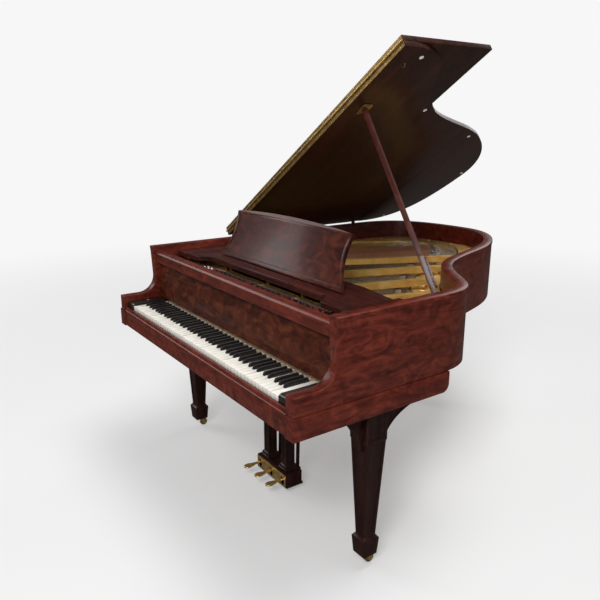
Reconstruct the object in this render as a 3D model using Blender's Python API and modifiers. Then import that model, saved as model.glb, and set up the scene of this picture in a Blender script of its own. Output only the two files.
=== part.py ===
"""Grand piano, built piece by piece in metres with +Z up.

The player faces +Y and the treble end is at +X. Inside the model every
position counts from the front of the arms (y = 0) and from the floor (z = 0).
One empty then moves the whole instrument so that its middle is at the origin.
"""

import math

import bmesh
import bpy
from mathutils import Matrix, Vector

# Clearances
GAP = 0.0003                 # between pieces that touch
RUN_GAP = 0.001              # beside pieces that run
STEP = 0.0005                # small step between faces of one body

# Case
CASE_WIDTH = 1.450
CASE_LENGTH = 1.842
DRAWN_WIDTH = 1.450          # case size that the points of the plan below are drawn for
DRAWN_LENGTH = 1.842
RIM_THICKNESS = 0.043
RIM_BOTTOM_Z = 0.695
RIM_TOP_Z = 0.981
RIM_BEAD_HEIGHT = 0.014
RIM_BEAD_PROUD = 0.0025
ARM_TOP_Z = 0.761
CHEEK_Y = 0.167              # front of the upright cheek above the arm's curve
CHEEK_TOP_Y = 0.158
CHEEK_RADIUS = 0.080
STRAIGHT_SIDE_END_Y = 0.620
INNER_RIM_THICKNESS = 0.045
INNER_RIM_TOP_Z = 0.868
BELLY_RAIL_Y = 0.482
BELLY_RAIL_THICKNESS = 0.038
BEAM_WIDTH = 0.060
BEAM_HEIGHT = 0.075

# Keybed and the pieces on it
KEYBED_BOTTOM_Z = 0.619
KEYBED_TOP_Z = 0.685
KEYBED_DEPTH = 0.500
BAND_PROUD = 0.004
BAND_LENGTH = 0.670
BAND_END_RADIUS = 0.030
KEY_SLIP_THICKNESS = 0.0135
KEY_SLIP_TOP_Z = 0.708
KEY_SLIP_BOTTOM_Z = 0.6673
KEY_BLOCK_TOP_Z = 0.735
KEY_BLOCK_DEPTH = 0.150
STRETCHER_Y = 0.172
STRETCHER_DEPTH = 0.040
STRETCHER_BOTTOM_Z = 0.905
STRETCHER_TOP_Z = 0.955
FALLBOARD_PIVOT_Y = 0.190
FALLBOARD_PIVOT_Z = 0.757
FALLBOARD_HEIGHT = 0.160
FALLBOARD_THICKNESS = 0.018
FALLBOARD_LEAN = math.radians(7.0)
FALLBOARD_PIN_RADIUS = 0.004

# Keyboard
KEY_COUNT = 88
KEYBOARD_SPAN = 1.225
WHITE_KEYS = 52
KEY_SPACING = 0.001
KEY_FRONT_Y = 0.0185
KEY_LENGTH = 0.380
KEY_TOP_Z = 0.726
KEY_THICKNESS = 0.022
KEY_HEAD_LENGTH = 0.050
SHARP_HEIGHT = 0.012
SHARP_WIDTH = 0.0135
SHARP_CAP_WIDTH = 0.0100
SHARP_LENGTH = 0.095
FIXED_KEY_DROP = 0.0012      # a fixed key sits this far down in its frame
BALANCE_Y = 0.233
BALANCE_RAIL_WIDTH = 0.024
UNA_CORDA_SHIFT = 0.0025
FIRST_FREE_KEY = 39          # middle C, counted from 0 at the lowest key
FREE_KEYS = ("c4", "c_sharp4", "d4", "d_sharp4", "e4", "f4", "f_sharp4", "g4", "g_sharp4", "a4",
             "a_sharp4", "b4")
SHARP_OFFSETS = {1: -0.0028, 3: 0.0028, 6: -0.0038, 8: 0.0, 10: 0.0038}

# Action and dampers
HAMMER_RAIL_Y = 0.330
HAMMER_RAIL_Z = 0.800
STRIKE_Y = 0.428
HAMMER_TOP_Z = 0.852
HAMMER_STEP = 3
ACTION_BRACKETS = 4
DAMPER_TRAY_Y = 0.462
DAMPER_TRAY_Z = 0.785
DAMPER_LIFT = 0.005
DAMPER_HEAD_HEIGHT = 0.010
DAMPER_HEAD_WIDTH = 0.0133
DAMPED_NOTES = 66
DAMPER_STEP = 2

# Soundboard, plate and strings
SOUNDBOARD_THICKNESS = 0.008
RIB_WIDTH = 0.022
RIB_HEIGHT = 0.016
PLATE_THICKNESS = 0.012
PLATE_FRONT_Y = 0.232
PLATE_WEB_BACK_Y = 0.402
PLATE_WEB_WIDTH = 0.140      # along the bent side and the tail
PLATE_WEB_BASS = 0.050
PLATE_WEB_TREBLE = 0.027
PLATE_HOLE_RADIUS = 0.027
PLATE_HOLES_FROM_Y = 0.700
PLATE_HOLES_TAIL_ROOM = 0.242
PLATE_HOLE_RIM = 0.008
AGRAFFE_Y = 0.385
STRUT_WIDTH = 0.018
STRUT_FOOT = 0.012
STRUT_SETBACK = 0.045        # from the rim's inner face to the middle of a strut's far foot
STRUT_BOTTOM_Z = 0.9050
STRUT_TOP_Z = 0.9300
PIN_BLOCK_THICKNESS = 0.034
TUNING_PIN_RADIUS = 0.0034
TUNING_PIN_TOP_Z = 0.920
TUNING_PIN_ROWS = 3
TREBLE_STRING_Z = 0.897
BASS_STRING_Z = 0.909
TREBLE_STRING_RADIUS = 0.0008
BASS_STRING_RADIUS = 0.0018
STRING_SIDE_ROOM = 0.050     # from the rim's inner face to the outermost string
SECTION_GAP = 0.028          # room for a strut between two groups of strings
SECTION_STARTS = (20, 42, 59, 73)
BASS_NOTES = SECTION_STARTS[0]
BRIDGE_WIDTH = 0.030

# Legs and casters
LEG_INSET = 0.060            # from the case's side to the middle of a front leg
LEG_Y = 0.352
LEG_TOP_WIDTH = 0.090
LEG_ANKLE_WIDTH = 0.050
LEG_BLOCK_BOTTOM_Z = 0.505
LEG_ANKLE_Z = 0.128
FOOT_TOP_Z = 0.118
FOOT_WIDTH = 0.070
FOOT_BOTTOM_WIDTH = 0.060
FOOT_BOTTOM_Z = 0.047
LEG_PANEL_DEPTH = 0.003
TAIL_LEG_X = -0.250
TAIL_LEG_Y = 1.480
BRACKET_THICKNESS = 0.040
BRACKET_HEIGHT = 0.150
BRACKET_FRONT_LENGTH = 0.115
BRACKET_BACK_LENGTH = 0.220
CASTER_WHEEL_RADIUS = 0.019
CASTER_WHEEL_WIDTH = 0.014
CASTER_TRAIL = 0.020
CASTER_FORK_WALL = 0.003
CASTER_AXLE_RADIUS = 0.003

# Lyre and pedals
LYRE_X = 0.020
LYRE_Y = 0.406
LYRE_COLUMN_SPACING = 0.140
LYRE_COLUMN_WIDTH = 0.046
LYRE_BOX_WIDTH = 0.232
LYRE_BOX_DEPTH = 0.082
LYRE_BOX_BOTTOM_Z = 0.026
LYRE_BOX_TOP_Z = 0.096
LYRE_BOX_WALL = 0.013
LYRE_BOX_BACK = 0.012
PEDAL_SPACING = 0.090
PEDAL_LENGTH = 0.150
PEDAL_WIDTH = 0.015
PEDAL_TOE_WIDTH = 0.034
PEDAL_THICKNESS = 0.010
PEDAL_PIVOT_Z = 0.061
PEDAL_KNUCKLE_RADIUS = 0.0075
PEDAL_PLATE_THICKNESS = 0.0035
PEDAL_SLOT_WIDTH = 0.022
BRACE_RADIUS = 0.008

# Lid
LID_THICKNESS = 0.022
LID_OVERHANG = 0.010
LID_TREBLE_OVERHANG = 0.018
LID_CLOSED_RISE = 0.003      # rubber buttons hold the closed lid off the rim
LID_SPLIT_Y = 0.585
FLAP_LENGTH = 0.452
LID_AXIS_OUTSIDE = 0.0135    # hinge axis beyond the rim's side
HINGE_KNUCKLE_RADIUS = 0.005
HINGE_LEAF_THICKNESS = 0.002
CASE_HINGE_LENGTH = 0.070
HINGE_STRAP_LENGTH = 0.042
CASE_HINGE_YS = (0.640, 1.440)
PIANO_HINGE_RADIUS = 0.0035
PIANO_HINGE_LEAF = 0.020
LID_HINGE_RISE = 0.019       # hinge axis above the lid's underside

# Prop
PROP_BASE_INSET = 0.08705    # from the case's side to the prop's pivot
PROP_BASE_Z = 0.94993
PROP_TIP_Y = 0.674
PROP_LENGTH = 0.763
PROP_WIDTH = 0.021
PROP_BASE_WIDTH = 0.026
PROP_PIN_RADIUS = 0.0035
PROP_FOLD_AZIMUTH = math.radians(138.0)
CUP_PLATE_THICKNESS = 0.004
CUP_PLATE_LENGTH = 0.064
CUP_PLATE_WIDTH = 0.048
CUP_PLATE_CORNER = 0.008
HALF_PROP_LENGTH = 0.110
HALF_PROP_PIVOT = 0.035
HALF_PROP_THICKNESS = 0.008

# Music desk
TRAY_TOP_Z = 0.952
TRAY_THICKNESS = 0.018
TRAY_SIDE_ROOM = 0.097       # from the rim's inner face to the tray's end
TRAY_WING_Y = 0.285
TRAY_SCOOP_Y = 0.335
TRAY_SCOOP_HALF_WIDTH = 0.460
TRAY_SCOOP_RADIUS = 0.040
TRAY_BACK_Y = 0.545
RAIL_LIP_WIDTH = 0.035
RAIL_LIP_THICKNESS = 0.0068
DESK_Y = 0.413
DESK_LEAN = math.radians(20.5)
DESK_HEIGHT = 0.213
DESK_ARCH = 0.018
DESK_TOP_HALF_WIDTH = 0.412
DESK_WAIST_HALF_WIDTH = 0.403
DESK_BOTTOM_HALF_WIDTH = 0.447
DESK_THICKNESS = 0.012
DESK_AXIS_RISE = 0.0033
STRUT_PIVOT_HEIGHT = 0.055
STRUT_PIVOT_BACK = 0.0035
STRUT_PIECE_WIDTH = 0.060
STRUT_PIECE_THICKNESS = 0.006
STRUT_FOOT_RISE = 0.0027      # the strut's foot stays this far above the tray as it swings

HALF_WIDTH = CASE_WIDTH / 2
INNER_X = HALF_WIDTH - RIM_THICKNESS
LEG_X = HALF_WIDTH - LEG_INSET
TRAY_HALF_WIDTH = INNER_X - TRAY_SIDE_ROOM
STRING_SPAN = 2 * (INNER_X - STRING_SIDE_ROOM)
TAIL_BLOCK_BOTTOM_Z = RIM_BOTTOM_Z + 3 * STEP
FIT_X = INNER_X - GAP
SOUNDBOARD_BOTTOM_Z = INNER_RIM_TOP_Z + GAP
SOUNDBOARD_TOP_Z = SOUNDBOARD_BOTTOM_Z + SOUNDBOARD_THICKNESS
PLATE_BOTTOM_Z = SOUNDBOARD_TOP_Z + GAP
PLATE_TOP_Z = PLATE_BOTTOM_Z + PLATE_THICKNESS
KEY_BOTTOM_Z = KEY_TOP_Z - KEY_THICKNESS
KEY_FRAME_TOP_Z = KEYBED_TOP_Z + 0.009
WHITE_PITCH = KEYBOARD_SPAN / WHITE_KEYS
KEYBOARD_HALF = KEYBOARD_SPAN / 2
LID_AXIS_X = -HALF_WIDTH - LID_AXIS_OUTSIDE
LID_AXIS_Z = RIM_TOP_Z + LID_CLOSED_RISE + LID_HINGE_RISE
LID_UNDERSIDE = -LID_HINGE_RISE
LID_TOP = LID_UNDERSIDE + LID_THICKNESS
PROP_BASE_X = HALF_WIDTH - PROP_BASE_INSET
PROP_REACH = math.hypot(PROP_BASE_X - LID_AXIS_X, PROP_BASE_Z - LID_AXIS_Z)
PROP_STAND = PROP_LENGTH + CUP_PLATE_THICKNESS + GAP - LID_UNDERSIDE
PROP_TIP_U = math.sqrt(PROP_REACH ** 2 - PROP_STAND ** 2)
LID_ANGLE = (math.asin(PROP_STAND / PROP_REACH)
             + math.atan2(PROP_BASE_Z - LID_AXIS_Z, PROP_BASE_X - LID_AXIS_X))
DESK_AXIS_Z = TRAY_TOP_Z + DESK_AXIS_RISE


def clear_scene():
    for item in list(bpy.data.objects):
        bpy.data.objects.remove(item, do_unlink=True)


clear_scene()
PIANO = bpy.data.collections.new("grand_piano")
bpy.context.scene.collection.children.link(PIANO)

ORIGIN = bpy.data.objects.new("piano_origin", None)
ORIGIN.location = (0.0, -CASE_LENGTH / 2, 0.0)
PIANO.objects.link(ORIGIN)


# Materials

def make_material(name, colour, roughness, metallic=0.0):
    material = bpy.data.materials.new(name)
    material.use_nodes = True
    shader = material.node_tree.nodes["Principled BSDF"]
    shader.inputs["Base Color"].default_value = (*colour, 1.0)
    shader.inputs["Roughness"].default_value = roughness
    shader.inputs["Metallic"].default_value = metallic
    material.diffuse_color = (*colour, 1.0)
    return material


MAHOGANY = make_material("mahogany", (0.16, 0.035, 0.022), 0.35)
DARK_WOOD = make_material("dark_mahogany", (0.07, 0.022, 0.016), 0.40)
BEECH = make_material("beech", (0.50, 0.34, 0.18), 0.60)
SPRUCE = make_material("spruce", (0.62, 0.40, 0.18), 0.50)
GOLD_IRON = make_material("gold_iron", (0.65, 0.42, 0.14), 0.40, 0.6)
BRASS = make_material("brass", (0.75, 0.52, 0.20), 0.28, 1.0)
STEEL = make_material("steel", (0.60, 0.60, 0.60), 0.30, 1.0)
COPPER = make_material("copper", (0.72, 0.32, 0.18), 0.35, 1.0)
IVORY = make_material("ivory", (0.86, 0.82, 0.70), 0.25)
EBONY = make_material("ebony", (0.015, 0.014, 0.014), 0.30)
FELT = make_material("felt", (0.75, 0.72, 0.66), 0.90)


# Shape helpers

def mesh_object(name, mesh, material=None, parent=None, location=(0.0, 0.0, 0.0)):
    item = bpy.data.objects.new(name, mesh)
    PIANO.objects.link(item)
    item.location = location
    if parent is not None:
        item.parent = parent
    if material is not None:
        mesh.materials.clear()
        mesh.materials.append(material)
    return item


def welded_mesh(item, name):
    """The mesh of a curve object, with its caps joined to its walls."""
    graph = bpy.context.evaluated_depsgraph_get()
    mesh = bpy.data.meshes.new_from_object(item.evaluated_get(graph))
    mesh.name = name
    work = bmesh.new()
    work.from_mesh(mesh)
    bmesh.ops.remove_doubles(work, verts=work.verts, dist=0.00001)
    bmesh.ops.recalc_face_normals(work, faces=work.faces)
    work.to_mesh(mesh)
    work.free()
    curve = item.data
    bpy.data.objects.remove(item, do_unlink=True)
    bpy.data.curves.remove(curve)
    return mesh


def extruded(name, outlines, low, high, plane="XY"):
    """Flat outlines, the first of them outside the rest, given a thickness."""
    curve = bpy.data.curves.new(name, "CURVE")
    curve.dimensions = "2D"
    curve.fill_mode = "BOTH"
    curve.extrude = (high - low) / 2
    for outline in outlines:
        spline = curve.splines.new("POLY")
        spline.points.add(len(outline) - 1)
        for point, (across, along) in zip(spline.points, outline):
            point.co = (across, along, 0.0, 1.0)
        spline.use_cyclic_u = True
    item = bpy.data.objects.new(name, curve)
    PIANO.objects.link(item)
    mesh = welded_mesh(item, name)
    mesh.transform(Matrix.Translation((0.0, 0.0, (low + high) / 2)))
    if plane == "YZ":
        mesh.transform(Matrix(((0, 0, 1, 0), (1, 0, 0, 0), (0, 1, 0, 0), (0, 0, 0, 1))))
    if plane == "XZ":
        mesh.transform(Matrix(((1, 0, 0, 0), (0, 0, -1, 0), (0, 1, 0, 0), (0, 0, 0, 1))))
    return mesh


def swept(name, path, profile, cyclic=False):
    """A closed profile carried along a flat path, with its ends filled."""
    shape = bpy.data.curves.new(name + "_profile", "CURVE")
    shape.dimensions = "2D"
    outline = shape.splines.new("POLY")
    outline.points.add(len(profile) - 1)
    for point, (across, up) in zip(outline.points, profile):
        point.co = (across, up, 0.0, 1.0)
    outline.use_cyclic_u = True
    shape_item = bpy.data.objects.new(name + "_profile", shape)
    PIANO.objects.link(shape_item)
    curve = bpy.data.curves.new(name, "CURVE")
    curve.dimensions = "3D"
    curve.twist_mode = "Z_UP"
    curve.bevel_mode = "OBJECT"
    curve.bevel_object = shape_item
    curve.use_fill_caps = True
    spline = curve.splines.new("POLY")
    spline.points.add(len(path) - 1)
    for point, place in zip(spline.points, path):
        point.co = (place[0], place[1], place[2] if len(place) > 2 else 0.0, 1.0)
    spline.use_cyclic_u = cyclic
    item = bpy.data.objects.new(name, curve)
    PIANO.objects.link(item)
    mesh = welded_mesh(item, name)
    bpy.data.objects.remove(shape_item, do_unlink=True)
    bpy.data.curves.remove(shape)
    return mesh


def tubes(name, paths, radius, resolution=0):
    """Round wires along open paths, each with filled ends."""
    curve = bpy.data.curves.new(name, "CURVE")
    curve.dimensions = "3D"
    curve.twist_mode = "Z_UP"
    curve.bevel_depth = radius
    curve.bevel_resolution = resolution
    curve.use_fill_caps = True
    for path in paths:
        spline = curve.splines.new("POLY")
        spline.points.add(len(path) - 1)
        for point, place in zip(spline.points, path):
            point.co = (*place, 1.0)
    item = bpy.data.objects.new(name, curve)
    PIANO.objects.link(item)
    return welded_mesh(item, name)


def box_mesh(name, low, high, top_scale=(1.0, 1.0)):
    """A box between two corners, its top face scaled about its middle."""
    mesh = bpy.data.meshes.new(name)
    work = bmesh.new()
    bmesh.ops.create_cube(work, size=1.0)
    size = Vector(high) - Vector(low)
    middle = (Vector(high) + Vector(low)) / 2
    for vertex in work.verts:
        if vertex.co.z > 0.0:
            vertex.co.x *= top_scale[0]
            vertex.co.y *= top_scale[1]
        vertex.co = Vector((vertex.co.x * size.x, vertex.co.y * size.y, vertex.co.z * size.z))
        vertex.co += middle
    work.to_mesh(mesh)
    work.free()
    return mesh


def cylinder_mesh(name, radius, length, axis="Z", sides=16, centre=(0.0, 0.0, 0.0), turn=0.0):
    mesh = bpy.data.meshes.new(name)
    work = bmesh.new()
    bmesh.ops.create_cone(work, cap_ends=True, segments=sides, radius1=radius, radius2=radius,
                          depth=length, matrix=Matrix.Rotation(turn, 4, "Z"))
    work.to_mesh(mesh)
    work.free()
    if axis == "X":
        mesh.transform(Matrix.Rotation(math.pi / 2, 4, "Y"))
    if axis == "Y":
        mesh.transform(Matrix.Rotation(-math.pi / 2, 4, "X"))
    mesh.transform(Matrix.Translation(centre))
    return mesh


def combined(name, meshes):
    """Several meshes in one, still as separate bodies."""
    result = bpy.data.meshes.new(name)
    work = bmesh.new()
    for mesh in meshes:
        work.from_mesh(mesh)
        bpy.data.meshes.remove(mesh)
    work.to_mesh(result)
    work.free()
    return result


def boolean(mesh, other, operation):
    """The union or difference of two closed meshes, as a new mesh."""
    first = bpy.data.objects.new(mesh.name + "_first", mesh)
    second = bpy.data.objects.new(mesh.name + "_second", other)
    PIANO.objects.link(first)
    PIANO.objects.link(second)
    modifier = first.modifiers.new("joined", "BOOLEAN")
    modifier.operation = operation
    modifier.object = second
    modifier.solver = "EXACT"
    modifier.use_self = True
    graph = bpy.context.evaluated_depsgraph_get()
    result = bpy.data.meshes.new_from_object(first.evaluated_get(graph))
    result.name = mesh.name
    bpy.data.objects.remove(first, do_unlink=True)
    bpy.data.objects.remove(second, do_unlink=True)
    bpy.data.meshes.remove(mesh)
    bpy.data.meshes.remove(other)
    return result


def union(mesh, *others):
    for other in others:
        mesh = boolean(mesh, other, "UNION")
    return mesh


def cut(mesh, *others):
    for other in others:
        mesh = boolean(mesh, other, "DIFFERENCE")
    return mesh


def smooth(item, angle=35.0):
    item.data.shade_smooth()
    item.data.set_sharp_from_angle(angle=math.radians(angle))
    return item


def bevelled(item, width, segments=1):
    modifier = item.modifiers.new("rounded_edges", "BEVEL")
    modifier.width = width
    modifier.segments = segments
    modifier.limit_method = "ANGLE"
    modifier.angle_limit = math.radians(50.0)
    return item


def arc(centre, radius, start, end, steps):
    """Points on an arc, its angles in degrees."""
    points = []
    for step in range(steps + 1):
        angle = math.radians(start + (end - start) * step / steps)
        points.append((centre[0] + radius * math.cos(angle), centre[1] + radius * math.sin(angle)))
    return points


# Plan of the case

def on_plan(x, y):
    """A point of the drawn plan, moved to this case's width and to its length beyond the straight side."""
    beyond = max(y - STRAIGHT_SIDE_END_Y, 0.0)
    longer = (CASE_LENGTH - STRAIGHT_SIDE_END_Y) / (DRAWN_LENGTH - STRAIGHT_SIDE_END_Y)
    return x * CASE_WIDTH / DRAWN_WIDTH, y + beyond * (longer - 1.0)


RIM_KNOTS = (
    # x, y, direction x, direction y, handle before, handle after
    (HALF_WIDTH, STRAIGHT_SIDE_END_Y, 0.00, 1.00, 0.100, 0.110),
    (*on_plan(0.630, 0.842), -0.80, 0.60, 0.085, 0.110),
    (*on_plan(0.352, 1.100), -0.44, 0.90, 0.150, 0.130),
    (*on_plan(0.222, 1.460), -0.38, 0.925, 0.120, 0.190),
    (*on_plan(-0.210, DRAWN_LENGTH), -1.00, 0.00, 0.190, 0.380),
    (-HALF_WIDTH, on_plan(0.0, 1.480)[1], 0.00, -1.00, 0.240, 0.100),
)
RIM_STEPS = 8


def bent_outline():
    """The case's plan from the treble front corner round the tail to the bass front corner."""
    points = [(HALF_WIDTH, 0.0)]
    for first, second in zip(RIM_KNOTS, RIM_KNOTS[1:]):
        start = Vector(first[:2])
        end = Vector(second[:2])
        leave = start + Vector(first[2:4]).normalized() * first[5]
        arrive = end - Vector(second[2:4]).normalized() * second[4]
        for step in range(RIM_STEPS):
            t = step / RIM_STEPS
            place = (start * (1 - t) ** 3 + leave * 3 * t * (1 - t) ** 2
                     + arrive * 3 * t * t * (1 - t) + end * t ** 3)
            points.append((place.x, place.y))
    points.append((-HALF_WIDTH, RIM_KNOTS[-1][1]))
    points.append((-HALF_WIDTH, 0.0))
    return points


def inset(points, distance):
    """The open outline moved inwards, which is to the left of its direction."""
    moved = []
    for index, point in enumerate(points):
        before = Vector(points[max(index - 1, 0)])
        after = Vector(points[min(index + 1, len(points) - 1)])
        here = Vector(point)
        first = (here - before).normalized() if index > 0 else (after - here).normalized()
        last = (after - here).normalized() if index < len(points) - 1 else first
        normal = Vector((-(first.y + last.y), first.x + last.x)).normalized()
        stretch = 1.0 / max(normal.dot(Vector((-first.y, first.x))), 0.5)
        moved.append(tuple(here + normal * distance * stretch))
    return moved


def behind(points, y):
    """The part of an open outline behind the line y, with its two ends on that line."""
    kept = [point for point in points if point[1] > y]
    return [(kept[0][0], y)] + kept + [(kept[-1][0], y)]


OUTLINE = bent_outline()


def chord(outline, start, direction):
    """Where a line through start crosses a closed outline, nearest crossing on either side."""
    hits = []
    across = Vector((-direction[1], direction[0]))
    for first, second in zip(outline, outline[1:] + outline[:1]):
        side_first = (Vector(first) - Vector(start)).dot(across)
        side_second = (Vector(second) - Vector(start)).dot(across)
        if side_first * side_second < 0.0:
            t = side_first / (side_first - side_second)
            place = Vector(first).lerp(Vector(second), t)
            hits.append((place - Vector(start)).dot(Vector(direction)))
    ahead = min(hit for hit in hits if hit > 0.0)
    back = max(hit for hit in hits if hit <= 0.0)
    return back, ahead


# Case pieces

def build_outer_rim():
    bead = RIM_TOP_Z - RIM_BEAD_HEIGHT
    profile = (
        (0.0, RIM_BOTTOM_Z),
        (0.0, bead - RIM_BEAD_PROUD),
        (RIM_BEAD_PROUD, bead),
        (RIM_BEAD_PROUD, RIM_TOP_Z - RIM_BEAD_PROUD),
        (0.0, RIM_TOP_Z),
        (-RIM_THICKNESS, RIM_TOP_Z),
        (-RIM_THICKNESS, RIM_BOTTOM_Z),
    )
    mesh = swept("outer_rim", OUTLINE, profile)
    centre = (CHEEK_Y - CHEEK_RADIUS, ARM_TOP_Z + CHEEK_RADIUS)
    above_arm = [(-0.05, ARM_TOP_Z)] + arc(centre, CHEEK_RADIUS, -90.0, 0.0, 8)
    above_arm += [(CHEEK_TOP_Y, RIM_TOP_Z + 0.05), (-0.05, RIM_TOP_Z + 0.05)]
    cutter = extruded("above_arms", [above_arm], -CASE_WIDTH, CASE_WIDTH, "YZ")
    mesh = cut(mesh, cutter)
    return smooth(mesh_object("outer_rim", mesh, MAHOGANY, ORIGIN))


def build_inner_rim():
    outside = RIM_THICKNESS + GAP
    profile = (
        (-outside, RIM_BOTTOM_Z),
        (-outside, INNER_RIM_TOP_Z),
        (-outside - INNER_RIM_THICKNESS, INNER_RIM_TOP_Z),
        (-outside - INNER_RIM_THICKNESS, RIM_BOTTOM_Z),
    )
    start = BELLY_RAIL_Y
    mesh = swept("inner_rim", behind(OUTLINE, start), profile)
    reach = INNER_X - INNER_RIM_THICKNESS / 2
    rail = box_mesh("belly_rail", (-reach, start + STEP, RIM_BOTTOM_Z + STEP),
                    (reach, start + BELLY_RAIL_THICKNESS, INNER_RIM_TOP_Z - STEP))
    mesh = union(mesh, rail)
    inside = inset(OUTLINE, RIM_THICKNESS + INNER_RIM_THICKNESS / 2)
    for x in (-0.36, 0.02, 0.34):
        heading = Vector((-0.10 * x - 0.07, 1.0)).normalized()
        begin = Vector((x, start + BELLY_RAIL_THICKNESS / 2))
        reach_far = chord(inside, begin, heading)[1] - BEAM_WIDTH * 0.35
        side = Vector((-heading.y, heading.x)) * BEAM_WIDTH / 2
        end = begin + heading * reach_far
        corners = [begin + side, begin - side, end - side, end + side]
        beam = extruded("beam", [[tuple(corner) for corner in corners]],
                        RIM_BOTTOM_Z + 2 * STEP, RIM_BOTTOM_Z + BEAM_HEIGHT)
        mesh = union(mesh, beam)
    block = box_mesh("tail_leg_block", (TAIL_LEG_X - 0.12, TAIL_LEG_Y - 0.09, TAIL_BLOCK_BOTTOM_Z),
                     (TAIL_LEG_X + 0.16, TAIL_LEG_Y + 0.09, RIM_BOTTOM_Z + BEAM_HEIGHT * 0.8))
    mesh = union(mesh, block)
    return smooth(mesh_object("inner_rim", mesh, BEECH, ORIGIN))


def build_keybed():
    slab = box_mesh("keybed", (-FIT_X - 0.004, 0.003, KEYBED_BOTTOM_Z), (FIT_X + 0.004, KEYBED_DEPTH,
                                                                         KEYBED_TOP_Z))
    rabbet = box_mesh("key_slip_rabbet", (-FIT_X - 0.01, -0.01, KEY_SLIP_BOTTOM_Z - GAP),
                      (FIT_X + 0.01, KEY_SLIP_THICKNESS + 0.004, KEYBED_TOP_Z + 0.01))
    mesh = cut(slab, rabbet)
    top = RIM_BOTTOM_Z - GAP
    for side in (-1, 1):
        outer = side * (HALF_WIDTH + BAND_PROUD)
        inner = side * FIT_X
        low = min(outer, inner)
        high = max(outer, inner)
        outline = [(-BAND_PROUD, KEYBED_BOTTOM_Z), (-BAND_PROUD, top), (BAND_LENGTH, top)]
        centre = (BAND_LENGTH - BAND_END_RADIUS, KEYBED_BOTTOM_Z + BAND_END_RADIUS)
        outline += arc(centre, BAND_END_RADIUS, 0.0, -90.0, 4)
        mesh = union(mesh, extruded("band", [outline], low, high, "YZ"))
    return mesh_object("keybed", mesh, MAHOGANY, ORIGIN)


def build_key_slip():
    bead_z = RIM_BOTTOM_Z
    outline = [(0.0, KEY_SLIP_BOTTOM_Z), (0.0, bead_z - 0.002), (0.002, bead_z), (0.004, bead_z),
               (0.004, KEY_SLIP_TOP_Z - 0.003), (0.007, KEY_SLIP_TOP_Z),
               (KEY_SLIP_THICKNESS + 0.003, KEY_SLIP_TOP_Z), (KEY_SLIP_THICKNESS + 0.003,
                                                              KEY_SLIP_BOTTOM_Z)]
    mesh = extruded("key_slip", [outline], -FIT_X + GAP, FIT_X - GAP, "YZ")
    return mesh_object("key_slip", mesh, MAHOGANY, ORIGIN)


def build_key_block(side, name):
    start = KEYBOARD_HALF + UNA_CORDA_SHIFT + RUN_GAP
    low = min(side * start, side * (FIT_X - GAP))
    high = max(side * start, side * (FIT_X - GAP))
    back = KEY_FRONT_Y + KEY_BLOCK_DEPTH
    radius = 0.012
    outline = [(KEY_FRONT_Y, KEYBED_TOP_Z + GAP)]
    outline += arc((KEY_FRONT_Y + radius, KEY_BLOCK_TOP_Z - radius), radius, 180.0, 90.0, 4)
    outline += [(back, KEY_BLOCK_TOP_Z), (back, KEYBED_TOP_Z + GAP)]
    mesh = extruded(name, [outline], low, high, "YZ")
    return smooth(mesh_object(name, mesh, EBONY, ORIGIN))


def build_stretcher():
    back = STRETCHER_Y + STRETCHER_DEPTH
    outline = [(STRETCHER_Y - 0.002, STRETCHER_BOTTOM_Z), (STRETCHER_Y - 0.002,
                                                           STRETCHER_BOTTOM_Z + 0.006),
               (STRETCHER_Y, STRETCHER_BOTTOM_Z + 0.008), (STRETCHER_Y + 0.003, STRETCHER_TOP_Z - 0.003),
               (STRETCHER_Y + 0.006, STRETCHER_TOP_Z), (back, STRETCHER_TOP_Z), (back,
                                                                                 STRETCHER_BOTTOM_Z)]
    mesh = extruded("stretcher", [outline], -FIT_X, FIT_X, "YZ")
    return mesh_object("stretcher", mesh, MAHOGANY, ORIGIN)


def build_fallboard():
    """The board stands open behind the keys and turns about pins low at its back."""
    half = FIT_X - 0.0025
    front = -0.012
    back = front + FALLBOARD_THICKNESS
    bottom = -0.019
    top = bottom + FALLBOARD_HEIGHT
    nose = FALLBOARD_THICKNESS / 2
    outline = [(back, bottom), (front + 0.003, bottom), (front, bottom + 0.003)]
    outline += arc((front + nose, top - nose), nose, 180.0, 0.0, 6)
    mesh = extruded("fallboard", [outline], -half, half, "YZ")
    pin = cylinder_mesh("pins", FALLBOARD_PIN_RADIUS, 2 * FIT_X - 2 * GAP, "X", 10)
    mesh = union(mesh, pin)
    item = mesh_object("fallboard", mesh, MAHOGANY, ORIGIN, (0.0, FALLBOARD_PIVOT_Y, FALLBOARD_PIVOT_Z))
    item.rotation_euler = (-FALLBOARD_LEAN, 0.0, 0.0)
    return smooth(item)


# Soundboard, plate and strings

def build_soundboard():
    front = BELLY_RAIL_Y + 0.004
    edge = behind(inset(OUTLINE, RIM_THICKNESS + GAP * 2), front)
    mesh = extruded("soundboard", [edge], SOUNDBOARD_BOTTOM_Z, SOUNDBOARD_TOP_Z)
    inside = behind(inset(OUTLINE, RIM_THICKNESS + INNER_RIM_THICKNESS + 0.008),
                    BELLY_RAIL_Y + BELLY_RAIL_THICKNESS + 0.006)
    heading = Vector((0.80, 0.60)).normalized()
    across = Vector((-heading.y, heading.x))
    middle = Vector((-0.15, 1.05))
    for step in (-3, -2, -1, 0, 1, 2, 3):
        start = middle + across * step * 0.135
        back, ahead = chord(inside, start, heading)
        first = start + heading * (back + 0.012)
        last = start + heading * (ahead - 0.012)
        side = across * RIB_WIDTH / 2
        corners = [first + side, first - side, last - side, last + side]
        rib = extruded("rib", [[tuple(corner) for corner in corners]],
                       SOUNDBOARD_BOTTOM_Z - RIB_HEIGHT, SOUNDBOARD_BOTTOM_Z + 0.002)
        mesh = union(mesh, rib)
    return mesh_object("soundboard", mesh, SPRUCE, ORIGIN)


def pitch_class(note):
    return (note + 9) % 12


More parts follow.
